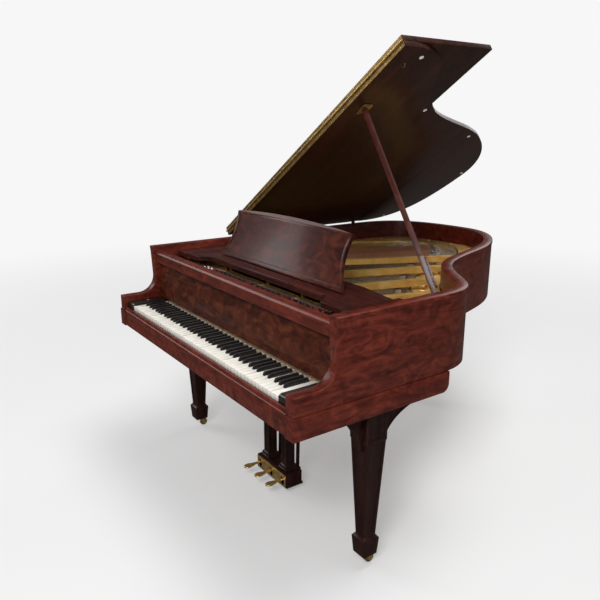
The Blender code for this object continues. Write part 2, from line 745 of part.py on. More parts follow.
def string_start(note):
    """Where a note's string crosses the agraffes, with a gap at each strut."""
    pitch = (STRING_SPAN - SECTION_GAP * len(SECTION_STARTS)) / (KEY_COUNT - 1)
    gaps = sum(1 for first in SECTION_STARTS if note >= first)
    return -STRING_SPAN / 2 + pitch * note + SECTION_GAP * gaps


TREBLE_BRIDGE_PATH = [on_plan(x, y) for x, y in (
    (0.598, 0.547), (0.520, 0.620), (0.400, 0.720), (0.270, 0.850), (0.140, 1.010), (0.010, 1.190),
    (-0.130, 1.360), (-0.290, 1.480), (-0.440, 1.530))]
BASS_BRIDGE_PATH = [on_plan(x, y) for x, y in (
    (-0.235, 1.600), (-0.145, 1.535), (-0.065, 1.455), (-0.005, 1.365))]


def along_path(path, share):
    """The point that lies a share of the way along an open path, by length."""
    lengths = [(Vector(b) - Vector(a)).length for a, b in zip(path, path[1:])]
    rest = share * sum(lengths)
    for (first, second), length in zip(zip(path, path[1:]), lengths):
        if rest <= length:
            return Vector(first).lerp(Vector(second), rest / length)
        rest -= length
    return Vector(path[-1])


def string_path(note):
    """A string from beside its tuning pin over the agraffe and bridge to its hitch."""
    x = string_start(note)
    if note < BASS_NOTES:
        level = BASS_STRING_Z
        meet = along_path(BASS_BRIDGE_PATH, 0.04 + 0.92 * note / (BASS_NOTES - 1))
        beyond = 0.045
    else:
        level = TREBLE_STRING_Z
        share = 1.0 - (note - BASS_NOTES) / (KEY_COUNT - 1 - BASS_NOTES)
        meet = along_path(TREBLE_BRIDGE_PATH, 0.015 + 0.97 * share ** 1.35)
        beyond = 0.040
    start = Vector((x, AGRAFFE_Y))
    heading = (meet - start).normalized()
    end = meet + heading * beyond
    pin_side = (x, pin_row_y(note) + TUNING_PIN_RADIUS + 0.001, level)
    return [pin_side, (start.x, start.y, level), (end.x, end.y, level)]


def pin_row_y(note):
    return 0.262 + 0.026 * (note % TUNING_PIN_ROWS)


def build_bridge(name, path, bottom, level, notes, radius, material):
    top = level + 0.0006
    half = BRIDGE_WIDTH / 2
    profile = ((-half, bottom), (-half * 0.8, top), (half * 0.8, top), (half, bottom))
    mesh = swept(name, path, profile)
    strands = tubes(name + "_strings", [string_path(note) for note in notes], radius)
    mesh = union(mesh, strands)
    return mesh_object(name, mesh, material, ORIGIN)


STRUT_TARGETS = [on_plan(x, y) for x, y in (
    (0.180, 1.500), (0.270, 1.250), (0.400, 1.000), (0.560, 0.850))]


def strut_line(index):
    """Start, direction and length of a strut from the front web to the bent side's web."""
    first = SECTION_STARTS[index]
    middle = (string_start(first - 1) + string_start(first)) / 2
    start = Vector((middle, PLATE_WEB_BACK_Y - STRUT_FOOT))
    heading = (Vector(STRUT_TARGETS[index]) - start).normalized()
    span = chord(inset(OUTLINE, RIM_THICKNESS + STRUT_SETBACK), start, heading)[1]
    return start, heading, span


def strut_mesh(index):
    """A raised bar on a foot at either end."""
    start, heading, span = strut_line(index)
    foot = STRUT_FOOT
    low = PLATE_TOP_Z - 0.004
    outline = [(0.0, low), (foot, low), (foot, STRUT_BOTTOM_Z), (span - foot, STRUT_BOTTOM_Z),
               (span - foot, low),
               (span + foot, low), (span + foot * 0.6, STRUT_TOP_Z - foot * 0.6), (span - foot,
                                                                                   STRUT_TOP_Z),
               (foot * 1.6, STRUT_TOP_Z), (0.0, STRUT_TOP_Z - foot * 0.7)]
    mesh = extruded("strut", [outline], -STRUT_WIDTH / 2, STRUT_WIDTH / 2, "YZ")
    turn = Matrix.Rotation(math.atan2(-heading.x, heading.y), 4, "Z")
    mesh.transform(Matrix.Translation((start.x, start.y, 0.0)) @ turn)
    return mesh


def plate_hole_places():
    """Centres of the round holes along the bent side, spaced evenly inside the web."""
    line = [point for point in inset(OUTLINE, RIM_THICKNESS + PLATE_WEB_WIDTH * 0.55)
            if point[0] > -0.05 and PLATE_HOLES_FROM_Y < point[1] < CASE_LENGTH - PLATE_HOLES_TAIL_ROOM]
    return [tuple(along_path(line, share)) for share in (0.06, 0.20, 0.34, 0.50, 0.66, 0.82)]


def build_iron_plate():
    edge = behind(inset(OUTLINE, RIM_THICKNESS + 0.003), PLATE_FRONT_Y)
    inner = []
    for point in inset(OUTLINE, RIM_THICKNESS + PLATE_WEB_WIDTH):
        if point[1] > PLATE_WEB_BACK_Y + 0.05:
            inner.append(point)
    bass_edge = -INNER_X + PLATE_WEB_BASS
    treble_edge = INNER_X - PLATE_WEB_TREBLE
    bass_corner = on_plan(0.0, 1.380)[1]
    bent = STRAIGHT_SIDE_END_Y + 0.010
    opening = [(treble_edge, PLATE_WEB_BACK_Y), (treble_edge, 0.560)]
    opening += [point for point in inner if point[0] > 0.182 - INNER_X and point[1] > bent]
    opening += [(bass_edge, bass_corner), (bass_edge, PLATE_WEB_BACK_Y)]
    holes = [arc(place, PLATE_HOLE_RADIUS, 0.0, 330.0, 11) for place in plate_hole_places()]
    mesh = extruded("iron_plate", [edge, opening] + holes, PLATE_BOTTOM_Z, PLATE_TOP_Z)
    ridge = box_mesh("agraffe_ridge", (-INNER_X + 0.010, AGRAFFE_Y - 0.007, PLATE_TOP_Z - 0.002),
                     (INNER_X - 0.010, AGRAFFE_Y + 0.007, TREBLE_STRING_Z - 0.0025), (0.995, 0.6))
    mesh = union(mesh, ridge)
    for place in plate_hole_places():
        ring = swept("hole_rim", [(*point, PLATE_TOP_Z) for point in arc(place,
                                                                         PLATE_HOLE_RADIUS + 0.005, 0.0, 330.0, 11)],
                     ((-0.0045, -0.001), (-0.0035, 0.005), (0.0035, 0.005), (0.0045, -0.001)), True)
        mesh = union(mesh, ring)
    for index in range(len(SECTION_STARTS)):
        mesh = union(mesh, strut_mesh(index))
    pins = []
    for note in range(KEY_COUNT):
        centre = (string_start(note), pin_row_y(note), (PLATE_TOP_Z - 0.002 + TUNING_PIN_TOP_Z) / 2)
        pins.append(cylinder_mesh("pin", TUNING_PIN_RADIUS, TUNING_PIN_TOP_Z - PLATE_TOP_Z + 0.002, "Z",
                                  4, centre))
    mesh = union(mesh, combined("tuning_pins", pins))
    return smooth(mesh_object("iron_plate", mesh, GOLD_IRON, ORIGIN))


def build_pin_block():
    mesh = box_mesh("pin_block", (-FIT_X, PLATE_FRONT_Y + 0.004,
                                  PLATE_BOTTOM_Z - GAP - PIN_BLOCK_THICKNESS),
                    (FIT_X, AGRAFFE_Y - 0.012, PLATE_BOTTOM_Z - GAP))
    return mesh_object("pin_block", mesh, BEECH, ORIGIN)


# Keyboard

def white_index(note):
    """How many white keys lie below a note."""
    return sum(1 for lower in range(note) if pitch_class(lower) not in SHARP_OFFSETS)


def is_sharp(note):
    return pitch_class(note) in SHARP_OFFSETS


def sharp_centre(note):
    return -KEYBOARD_HALF + WHITE_PITCH * white_index(note) + SHARP_OFFSETS[pitch_class(note)]


def white_outline(note):
    """Plan of a white key: a full-width head and a tail that makes room for the sharps."""
    left = -KEYBOARD_HALF + WHITE_PITCH * white_index(note) + KEY_SPACING / 2
    right = left + WHITE_PITCH - KEY_SPACING
    tail_left = left
    tail_right = right
    if note > 0 and is_sharp(note - 1):
        tail_left = sharp_centre(note - 1) + SHARP_WIDTH / 2 + KEY_SPACING
    if note < KEY_COUNT - 1 and is_sharp(note + 1):
        tail_right = sharp_centre(note + 1) - SHARP_WIDTH / 2 - KEY_SPACING
    head = KEY_FRONT_Y + KEY_HEAD_LENGTH
    back = KEY_FRONT_Y + KEY_LENGTH
    points = [(left, KEY_FRONT_Y), (right, KEY_FRONT_Y)]
    if tail_right < right:
        points += [(right, head), (tail_right, head)]
    points += [(tail_right, back), (tail_left, back)]
    if tail_left > left:
        points += [(tail_left, head), (left, head)]
    return points


def sharp_outline(note):
    x = sharp_centre(note)
    front = KEY_FRONT_Y + KEY_HEAD_LENGTH + KEY_SPACING * 1.5
    back = KEY_FRONT_Y + KEY_LENGTH
    half = SHARP_WIDTH / 2
    return [(x - half, front), (x + half, front), (x + half, back), (x - half, back)]


def sharp_cap(note, low):
    """The raised black top of a sharp, narrower above and sloped at its front."""
    x = sharp_centre(note)
    front = KEY_FRONT_Y + KEY_HEAD_LENGTH + KEY_SPACING * 1.5
    top = KEY_TOP_Z + SHARP_HEIGHT
    outline = [(front, low), (front + 0.003, top - 0.003), (front + 0.008, top),
               (front + SHARP_LENGTH, top), (front + SHARP_LENGTH, low)]
    mesh = extruded("sharp_cap", [outline], x - SHARP_WIDTH / 2, x + SHARP_WIDTH / 2, "YZ")
    for vertex in mesh.vertices:
        if vertex.co.z > top - 0.004:
            vertex.co.x = x + (vertex.co.x - x) * SHARP_CAP_WIDTH / SHARP_WIDTH
    return mesh


def build_key_frame():
    """The frame under the keys, with the keys that stay on it."""
    fixed = [note for note in range(KEY_COUNT)
             if not FIRST_FREE_KEY <= note < FIRST_FREE_KEY + len(FREE_KEYS)]
    low = KEY_BOTTOM_Z - FIXED_KEY_DROP
    base = KEYBED_TOP_Z + GAP
    half = KEYBOARD_HALF - 0.002
    back_y = KEY_FRONT_Y + KEY_LENGTH
    front_rail = box_mesh("front_rail", (-half, KEY_FRONT_Y + 0.020, base), (half, KEY_FRONT_Y + 0.045,
                                                                             KEY_FRAME_TOP_Z))
    mesh = front_rail
    ridge = KEY_BOTTOM_Z - GAP
    balance = [(BALANCE_Y - BALANCE_RAIL_WIDTH / 2, base), (BALANCE_Y + BALANCE_RAIL_WIDTH / 2, base),
               (BALANCE_Y + BALANCE_RAIL_WIDTH / 2, ridge - 0.003), (BALANCE_Y, ridge),
               (BALANCE_Y - BALANCE_RAIL_WIDTH / 2, ridge - 0.003)]
    back_rail = [(back_y - 0.030, base), (back_y + 0.034, base), (back_y + 0.034, KEY_FRAME_TOP_Z),
                 (back_y + 0.002, KEY_FRAME_TOP_Z), (back_y + 0.002, ridge), (back_y - 0.030, ridge)]
    ties = []
    for share in (-0.92, -0.30, 0.30, 0.92):
        x = half * share
        ties.append(box_mesh("tie", (x - 0.02, KEY_FRONT_Y + 0.030, base), (x + 0.02, back_y,
                                                                            KEY_FRAME_TOP_Z - 0.001)))
    mesh = union(mesh, combined("ties", ties))
    mesh = union(mesh, extruded("balance_rail", [balance], -half, half, "YZ"))
    mesh = union(mesh, extruded("back_rail", [back_rail], -half, half, "YZ"))
    whites = [white_outline(note) for note in fixed if not is_sharp(note)]
    sharps = [sharp_outline(note) for note in fixed if is_sharp(note)]
    mesh = union(mesh, extruded("fixed_whites", whites, low, KEY_TOP_Z))
    mesh = union(mesh, extruded("fixed_sharps", sharps, low, KEY_TOP_Z))
    caps = [sharp_cap(note, KEY_TOP_Z - 0.001) for note in fixed if is_sharp(note)]
    mesh = union(mesh, combined("sharp_caps", caps))
    return mesh_object("key_frame", mesh, IVORY, ORIGIN)


def build_free_key(note, name, parent):
    pivot = Vector((0.0, BALANCE_Y, KEY_BOTTOM_Z))
    if is_sharp(note):
        mesh = extruded(name, [sharp_outline(note)], KEY_BOTTOM_Z, KEY_TOP_Z)
        mesh = union(mesh, sharp_cap(note, KEY_TOP_Z - 0.001))
        material = EBONY
    else:
        mesh = extruded(name, [white_outline(note)], KEY_BOTTOM_Z, KEY_TOP_Z)
        material = IVORY
    mesh.transform(Matrix.Translation(-pivot))
    return mesh_object(name, mesh, material, parent, pivot)


def build_action_stack(parent):
    """Brackets on the key frame carry the hammer rail; a hammer stands under every second string."""
    base = KEY_FRAME_TOP_Z + GAP
    back_y = KEY_FRONT_Y + KEY_LENGTH
    half = KEYBOARD_HALF - 0.004
    rail = box_mesh("hammer_rail", (-half, HAMMER_RAIL_Y - 0.014, HAMMER_RAIL_Z - 0.010),
                    (half, HAMMER_RAIL_Y + 0.014, HAMMER_RAIL_Z + 0.010))
    mesh = rail
    brackets = []
    for index in range(ACTION_BRACKETS):
        x = -half * 0.97 + 2 * half * 0.97 * index / (ACTION_BRACKETS - 1)
        outline = [(back_y + 0.006, base), (back_y + 0.026, base), (back_y + 0.022, HAMMER_RAIL_Z - 0.03),
                   (back_y - 0.010, HAMMER_RAIL_Z), (HAMMER_RAIL_Y + 0.005, HAMMER_RAIL_Z + 0.006),
                   (HAMMER_RAIL_Y - 0.010, HAMMER_RAIL_Z - 0.004), (HAMMER_RAIL_Y, HAMMER_RAIL_Z - 0.014),
                   (back_y - 0.004, HAMMER_RAIL_Z - 0.040)]
        brackets.append(extruded("bracket", [outline], x - 0.006, x + 0.006, "YZ"))
    mesh = union(mesh, combined("brackets", brackets))
    hammers = []
    for note in range(1, KEY_COUNT - 1, HAMMER_STEP):
        x = string_start(note)
        if abs(x) > half - 0.005:
            continue
        outline = [(HAMMER_RAIL_Y, HAMMER_RAIL_Z - 0.003), (STRIKE_Y + 0.006, HAMMER_RAIL_Z + 0.010),
                   (STRIKE_Y + 0.010, HAMMER_TOP_Z - 0.016), (STRIKE_Y, HAMMER_TOP_Z),
                   (STRIKE_Y - 0.010, HAMMER_TOP_Z - 0.016), (STRIKE_Y - 0.004, HAMMER_RAIL_Z + 0.016),
                   (HAMMER_RAIL_Y, HAMMER_RAIL_Z + 0.003)]
        hammers.append(extruded("hammer", [outline], x - 0.0045, x + 0.0045, "YZ"))
    mesh = union(mesh, combined("hammers", hammers))
    return mesh_object("action_stack", mesh, BEECH, parent)


def string_x_at(note, y):
    path = string_path(note)
    start = Vector(path[1][:2])
    end = Vector(path[2][:2])
    return start.x + (end.x - start.x) * (y - start.y) / (end.y - start.y)


def near_strut(x, y, clear):
    for index in range(len(SECTION_STARTS)):
        start, heading, span = strut_line(index)
        centre = start.x + heading.x / heading.y * (y - start.y)
        if abs(centre - x) < STRUT_WIDTH / 2 + clear:
            return True
    return False


def build_damper_set():
    """Damper heads on the strings, each with a wire down to the lift tray."""
    notes = []
    for note in range(0, DAMPED_NOTES, DAMPER_STEP):
        x = string_x_at(note, DAMPER_TRAY_Y)
        beside = abs(x - string_x_at(notes[-1], DAMPER_TRAY_Y)) if notes else CASE_WIDTH
        if not near_strut(x, DAMPER_TRAY_Y, 0.014) and beside > DAMPER_HEAD_WIDTH + RUN_GAP:
            notes.append(note)
    left = string_x_at(notes[0], DAMPER_TRAY_Y) - 0.012
    right = string_x_at(notes[-1], DAMPER_TRAY_Y) + 0.012
    mesh = box_mesh("lift_tray", (left, DAMPER_TRAY_Y - 0.012, DAMPER_TRAY_Z - 0.008),
                    (right, DAMPER_TRAY_Y + 0.012, DAMPER_TRAY_Z + 0.008))
    wires = []
    heads = []
    for note in notes:
        x = string_x_at(note, DAMPER_TRAY_Y)
        radius = BASS_STRING_RADIUS if note < BASS_NOTES else TREBLE_STRING_RADIUS
        level = BASS_STRING_Z if note < BASS_NOTES else TREBLE_STRING_Z
        bottom = level + radius + GAP
        wire_x = x + 0.0068
        wires.append(box_mesh("wire", (wire_x - 0.0012, DAMPER_TRAY_Y - 0.0012, DAMPER_TRAY_Z),
                              (wire_x + 0.0012, DAMPER_TRAY_Y + 0.0012, bottom + 0.004)))
        heads.append(box_mesh("head", (x - 0.0048, DAMPER_TRAY_Y - 0.022, bottom),
                              (x - 0.0048 + DAMPER_HEAD_WIDTH, DAMPER_TRAY_Y + 0.022,
                               bottom + DAMPER_HEAD_HEIGHT),
                              (0.8, 0.92)))
    mesh = union(mesh, combined("wires", wires))
    mesh = union(mesh, combined("heads", heads))
    return mesh_object("damper_set", mesh, EBONY, ORIGIN)


# Legs, casters and lyre

def square_loft(name, sections, centre=(0.0, 0.0)):
    """A square column through (height, width) sections, from the bottom up."""
    work = bmesh.new()
    rings = []
    for height, width in sections:
        half = width / 2
        ring = [work.verts.new((centre[0] + x * half, centre[1] + y * half, height))
                for x, y in ((-1, -1), (1, -1), (1, 1), (-1, 1))]
        rings.append(ring)
    work.faces.new(list(reversed(rings[0])))
    for low, high in zip(rings, rings[1:]):
        for side in range(4):
            after = (side + 1) % 4
            work.faces.new((low[side], low[after], high[after], high[side]))
    work.faces.new(rings[-1])
    mesh = bpy.data.meshes.new(name)
    work.to_mesh(mesh)
    work.free()
    return mesh


def leg_panel_cutters(top_z, block_bottom):
    """Sunk panels on the four faces, one on the block and a long tapered one below it."""
    cutters = []
    border = 0.012
    for quarter in range(4):
        turn = Matrix.Rotation(quarter * math.pi / 2, 4, "Z")
        block = LEG_TOP_WIDTH / 2
        panel = box_mesh("block_panel", (-block + border, block - LEG_PANEL_DEPTH, block_bottom + border),
                         (block - border, block + 0.02, top_z - border))
        panel.transform(turn)
        cutters.append(panel)
        low_half = LEG_ANKLE_WIDTH / 2
        low_z = LEG_ANKLE_Z + border
        high_z = block_bottom - border
        outline = [(-low_half + border, low_z), (low_half - border, low_z),
                   (block - 0.002 - border, high_z), (-block + 0.002 + border, high_z)]
        long_panel = extruded("long_panel", [outline], -0.03, 0.0, "XZ")
        slope = (LEG_TOP_WIDTH / 2 - 0.002 - low_half) / (block_bottom - LEG_ANKLE_Z)
        for vertex in long_panel.vertices:
            inner = low_half + slope * (vertex.co.z - LEG_ANKLE_Z) - LEG_PANEL_DEPTH
            vertex.co.y = inner if vertex.co.y < 0.015 else inner + 0.03
        long_panel.transform(turn)
        cutters.append(long_panel)
    return combined("leg_panels", cutters)


def build_leg(name, x, y, top_z, bracket_ends):
    block_bottom = top_z - (KEYBED_BOTTOM_Z - LEG_BLOCK_BOTTOM_Z)
    sections = (
        (FOOT_BOTTOM_Z + GAP, FOOT_BOTTOM_WIDTH),
        (FOOT_TOP_Z - 0.006, FOOT_WIDTH),
        (FOOT_TOP_Z, FOOT_WIDTH - 0.006),
        (LEG_ANKLE_Z, LEG_ANKLE_WIDTH),
        (block_bottom - 0.004, LEG_TOP_WIDTH - 0.004),
        (block_bottom, LEG_TOP_WIDTH),
        (top_z - GAP, LEG_TOP_WIDTH),
    )
    mesh = square_loft(name, sections)
    mesh = cut(mesh, leg_panel_cutters(top_z, block_bottom))
    for direction, length in bracket_ends:
        outline = [(0.0, top_z - GAP), (length, top_z - GAP), (length, top_z - 0.016)]
        centre = (length * 1.02, top_z - BRACKET_HEIGHT * 1.02)
        for step in range(1, 8):
            angle = math.radians(90.0 + 90.0 * step / 8)
            outline.append((centre[0] + (length - 0.006) * math.cos(angle),
                            centre[1] + (BRACKET_HEIGHT * 1.02 - 0.016) * math.sin(angle)))
        outline.append((0.0, top_z - BRACKET_HEIGHT))
        start = LEG_TOP_WIDTH / 2 - LEG_PANEL_DEPTH - 0.001
        outline = [(direction * (start + along), up) for along, up in outline]
        mesh = union(mesh, extruded("bracket", [outline], -BRACKET_THICKNESS / 2, BRACKET_THICKNESS / 2,
                                    "YZ"))
    return mesh_object(name, mesh, DARK_WOOD, ORIGIN, (x, y, 0.0))


def build_caster(name, x, y):
    """A fork that turns under the foot and a wheel that rolls behind its axis."""
    top = FOOT_BOTTOM_Z
    half = CASTER_WHEEL_WIDTH / 2 + RUN_GAP
    wall = CASTER_FORK_WALL
    reach = CASTER_TRAIL + 0.008
    crown_z = 2 * CASTER_WHEEL_RADIUS + 0.002
    side = [(-0.012, top), (-0.012, crown_z), (CASTER_TRAIL - 0.007, CASTER_WHEEL_RADIUS - 0.004)]
    side += [(CASTER_TRAIL + 0.006, CASTER_WHEEL_RADIUS - 0.004), (reach, CASTER_WHEEL_RADIUS + 0.010),
             (reach, top)]
    mesh = extruded(name + "_fork", [side], -half - wall, half + wall, "YZ")
    slot = box_mesh("slot", (-half, -0.03, -0.01), (half, 0.06, crown_z))
    mesh = cut(mesh, slot)
    bore = cylinder_mesh("bore", CASTER_AXLE_RADIUS, 4 * half, "X", 12, (0.0, CASTER_TRAIL,
                                                                         CASTER_WHEEL_RADIUS))
    mesh = cut(mesh, bore)
    disc = cylinder_mesh("disc", FOOT_BOTTOM_WIDTH / 2 - 0.008, 0.004, "Z", 16, (0.0, 0.0, top - 0.002))
    mesh = union(mesh, disc)
    fork = smooth(mesh_object(name + "_fork", mesh, BRASS, ORIGIN, (x, y, 0.0)))
    sides = 20
    flat = CASTER_WHEEL_RADIUS / math.cos(math.pi / sides)
    wheel = cylinder_mesh(name + "_wheel", flat, CASTER_WHEEL_WIDTH, "X", sides, turn=math.pi / sides)
    axle = cylinder_mesh("axle", CASTER_AXLE_RADIUS - GAP * 1.3,
                         CASTER_WHEEL_WIDTH + 2 * RUN_GAP + 2 * wall, "X", 12)
    wheel = union(wheel, axle)
    roller = mesh_object(name + "_wheel", wheel, BRASS, fork, (0.0, CASTER_TRAIL, CASTER_WHEEL_RADIUS))
    return smooth(roller)


def build_lyre():
    """Two square columns between a head block and the pedal box."""
    top_z = KEYBED_BOTTOM_Z - GAP
    width = LYRE_COLUMN_WIDTH
    half_box = LYRE_BOX_WIDTH / 2
    front = LYRE_Y - LYRE_BOX_DEPTH / 2
    back = LYRE_Y + LYRE_BOX_DEPTH / 2
    mesh = box_mesh("lyre", (LYRE_X - half_box, front, LYRE_BOX_BOTTOM_Z + 0.008),
                    (LYRE_X + half_box, back, LYRE_BOX_TOP_Z - 0.008))
    shoulder = box_mesh("shoulder", (LYRE_X - half_box + 0.006, front + 0.006, LYRE_BOX_TOP_Z - 0.010),
                        (LYRE_X + half_box - 0.006, back - 0.006, LYRE_BOX_TOP_Z), (0.97, 0.90))
    plinth = box_mesh("plinth", (LYRE_X - half_box - 0.004, front - 0.0, LYRE_BOX_BOTTOM_Z),
                      (LYRE_X + half_box + 0.004, back + 0.004, LYRE_BOX_BOTTOM_Z + 0.010), (0.98, 1.0))
    mesh = union(mesh, shoulder, plinth)
    inner = half_box - LYRE_BOX_WALL
    cavity = box_mesh("cavity", (LYRE_X - inner, front - 0.02, PEDAL_PIVOT_Z - 0.024),
                      (LYRE_X + inner, back - LYRE_BOX_BACK, PEDAL_PIVOT_Z + 0.020))
    mesh = cut(mesh, cavity)
    for side in (-1, 1):
        centre = (LYRE_X + side * LYRE_COLUMN_SPACING / 2, LYRE_Y)
        sections = ((LYRE_BOX_TOP_Z - 0.004, width + 0.016), (LYRE_BOX_TOP_Z + 0.006, width + 0.016),
                    (LYRE_BOX_TOP_Z + 0.010, width + 0.008), (LYRE_BOX_TOP_Z + 0.018, width + 0.008),
                    (LYRE_BOX_TOP_Z + 0.022, width - 0.006), (top_z - 0.090, width - 0.002),
                    (top_z - 0.086, width + 0.010), (top_z - 0.040, width + 0.010))
        mesh = union(mesh, square_loft("column", sections, centre))
    head = box_mesh("head_block", (LYRE_X - LYRE_COLUMN_SPACING / 2 - 0.050, LYRE_Y - 0.040,
                                   top_z - 0.048),
                    (LYRE_X + LYRE_COLUMN_SPACING / 2 + 0.050, LYRE_Y + 0.040, top_z))
    mesh = union(mesh, head)
    return mesh_object("lyre", mesh, DARK_WOOD, ORIGIN)


def build_pedal_plate():
    front = LYRE_Y - LYRE_BOX_DEPTH / 2 - GAP
    inner = LYRE_BOX_WIDTH / 2 - 0.003
    low = LYRE_BOX_BOTTOM_Z + 0.003
    high = LYRE_BOX_TOP_Z - 0.009
    outlines = [[(LYRE_X - inner, low), (LYRE_X + inner, low), (LYRE_X + inner, high), (LYRE_X - inner,
                                                                                        high)]]
    for index in (-1, 0, 1):
        x = LYRE_X + index * PEDAL_SPACING
        half = PEDAL_SLOT_WIDTH / 2
        outlines.append([(x - half, PEDAL_PIVOT_Z - 0.026), (x + half, PEDAL_PIVOT_Z - 0.026),
                         (x + half, PEDAL_PIVOT_Z + 0.012), (x - half, PEDAL_PIVOT_Z + 0.012)])
    mesh = extruded("pedal_plate", outlines, -front, -front + PEDAL_PLATE_THICKNESS, "XZ")
    return mesh_object("pedal_plate", mesh, BRASS, ORIGIN)


def build_pedal(name, index):
    """A long lever with a leaf-shaped toe, pivoted at the back of the box."""
    pivot_y = LYRE_Y + LYRE_BOX_DEPTH / 2 - LYRE_BOX_BACK - PEDAL_KNUCKLE_RADIUS - GAP
    tip = -PEDAL_LENGTH
    neck = tip + 0.060
    half = PEDAL_WIDTH / 2
    toe = PEDAL_TOE_WIDTH / 2
    side = [(half, 0.006), (half, neck)]
    side += [(half + (toe - half) * math.sin(math.pi / 2 * step / 4),
              neck - 0.034 * step / 4) for step in (1, 2, 3, 4)]
    side += [(toe * math.cos(math.radians(angle)), tip + 0.026 - 0.026 * math.sin(math.radians(angle)))
             for angle in (30, 60)]
    outline = side + [(0.0, tip)] + [(-x, y) for x, y in reversed(side)]
    mesh = extruded(name, [outline], -PEDAL_THICKNESS / 2, PEDAL_THICKNESS / 2)
    knuckle = cylinder_mesh("knuckle", PEDAL_KNUCKLE_RADIUS, PEDAL_WIDTH + 0.010, "X", 12)
    mesh = union(mesh, knuckle)
    item = mesh_object(name, mesh, BRASS, ORIGIN, (LYRE_X + index * PEDAL_SPACING, pivot_y,
                                                   PEDAL_PIVOT_Z))
    return smooth(item)


def build_lyre_brace():
    """Two rods from the back of the box up to a cleat under the keybed."""
    back = LYRE_Y + LYRE_BOX_DEPTH / 2 + GAP
    cleat_y = KEYBED_DEPTH - 0.030
    top_z = KEYBED_BOTTOM_Z - GAP
    half = LYRE_COLUMN_SPACING / 2
    mesh = box_mesh("lyre_brace", (LYRE_X - half - 0.030, cleat_y - 0.020, top_z - 0.018),
                    (LYRE_X + half + 0.030, cleat_y + 0.020, top_z))
    low_z = LYRE_BOX_BOTTOM_Z + 0.045
    foot = box_mesh("foot_bar", (LYRE_X - half - 0.014, back, low_z - 0.012), (LYRE_X + half + 0.014,
                                                                               back + 0.018, low_z + 0.012))
    paths = []
    for side in (-1, 1):
        x = LYRE_X + side * half
        paths.append([(x, back + 0.0093, low_z + 0.001), (x, cleat_y, top_z - 0.007)])
    mesh = union(mesh, foot, tubes("rods", paths, BRACE_RADIUS, 1))
    return smooth(mesh_object("lyre_brace", mesh, DARK_WOOD, ORIGIN))


# Lid, its hinges and prop

def lid_outline():
    """The lid's plan behind the split, measured from the hinge axis."""
    rear = behind(inset(OUTLINE, -LID_OVERHANG), LID_SPLIT_Y + lid_edge_setback())
    shifted = []
    for x, y in rear:
        widen = (LID_TREBLE_OVERHANG - LID_OVERHANG) * min(max(x / HALF_WIDTH, 0.0), 1.0)
        shifted.append((x + widen - LID_AXIS_X, y))
    return shifted


def lid_edge_setback():
    """From the flap's hinge axis to the wood: running room and a hinge leaf."""
    return PIANO_HINGE_RADIUS + GAP + HINGE_LEAF_THICKNESS + GAP


def build_lid():
    mesh = extruded("lid", [lid_outline()], LID_UNDERSIDE, LID_TOP - GAP)
    mesh = cut(mesh, hinge_notches(HINGE_KNUCKLE_RADIUS + 0.0015, LID_UNDERSIDE - 0.01, LID_TOP + 0.01))
    item = mesh_object("lid", mesh, MAHOGANY, ORIGIN, (LID_AXIS_X, 0.0, LID_AXIS_Z))
    item.rotation_euler = (0.0, -LID_ANGLE, 0.0)
    return smooth(bevelled(item, 0.003))


def hinge_notches(depth, low, high, start=0.0):
    """Cutters that clear the case hinges along the lid's bass edge."""
    half = CASE_HINGE_LENGTH / 2 + RUN_GAP
    return combined("hinge_notches", [box_mesh("notch", (-0.02, y - half - start, low), (depth,
                                                                                         y + half - start, high))
                                      for y in CASE_HINGE_YS])


def lid_span():
    low = -HALF_WIDTH - LID_OVERHANG - LID_AXIS_X
    high = HALF_WIDTH + LID_TREBLE_OVERHANG - LID_AXIS_X
    return low, high


def build_flap(lid):
    """The front flap, folded back onto the lid about the hinge along the split."""
    low, high = lid_span()
    start = lid_edge_setback()
    mesh = box_mesh("lid_flap", (low, start, GAP / 2), (high, start + FLAP_LENGTH,
                                                        GAP / 2 + LID_THICKNESS - GAP))
    pocket = hinge_notches(HINGE_STRAP_LENGTH + RUN_GAP, -0.01,
                           HINGE_KNUCKLE_RADIUS - LID_TOP + RUN_GAP, LID_SPLIT_Y)
    mesh = cut(mesh, pocket)
    item = mesh_object("lid_flap", mesh, MAHOGANY, lid, (0.0, LID_SPLIT_Y, LID_TOP))
    return bevelled(item, 0.003)


def build_lid_hinge_leaves(lid, flap):
    low, high = lid_span()
    face = PIANO_HINGE_RADIUS + GAP
    leaf = box_mesh("lid_hinge_leaf", (low + 0.002, face, -PIANO_HINGE_LEAF),
                    (high - 0.002, face + HINGE_LEAF_THICKNESS, -GAP))
    web = box_mesh("web", (low + 0.002, 0.0, -0.0018), (high - 0.002, face + 0.001, -GAP))
    knuckle = cylinder_mesh("knuckle", PIANO_HINGE_RADIUS, high - low - 0.004, "X", 10,
                            ((low + high) / 2, 0.0, 0.0))
    mesh = union(leaf, web, knuckle)
    first = mesh_object("lid_hinge_leaf", mesh, BRASS, lid, (0.0, LID_SPLIT_Y, LID_TOP))
    rise = PIANO_HINGE_RADIUS * 0.5
    second_mesh = box_mesh("flap_hinge_leaf", (low + 0.002, face, rise),
                           (high - 0.002, face + HINGE_LEAF_THICKNESS, PIANO_HINGE_LEAF))
    second = mesh_object("flap_hinge_leaf", second_mesh, BRASS, flap)
    return smooth(first), second


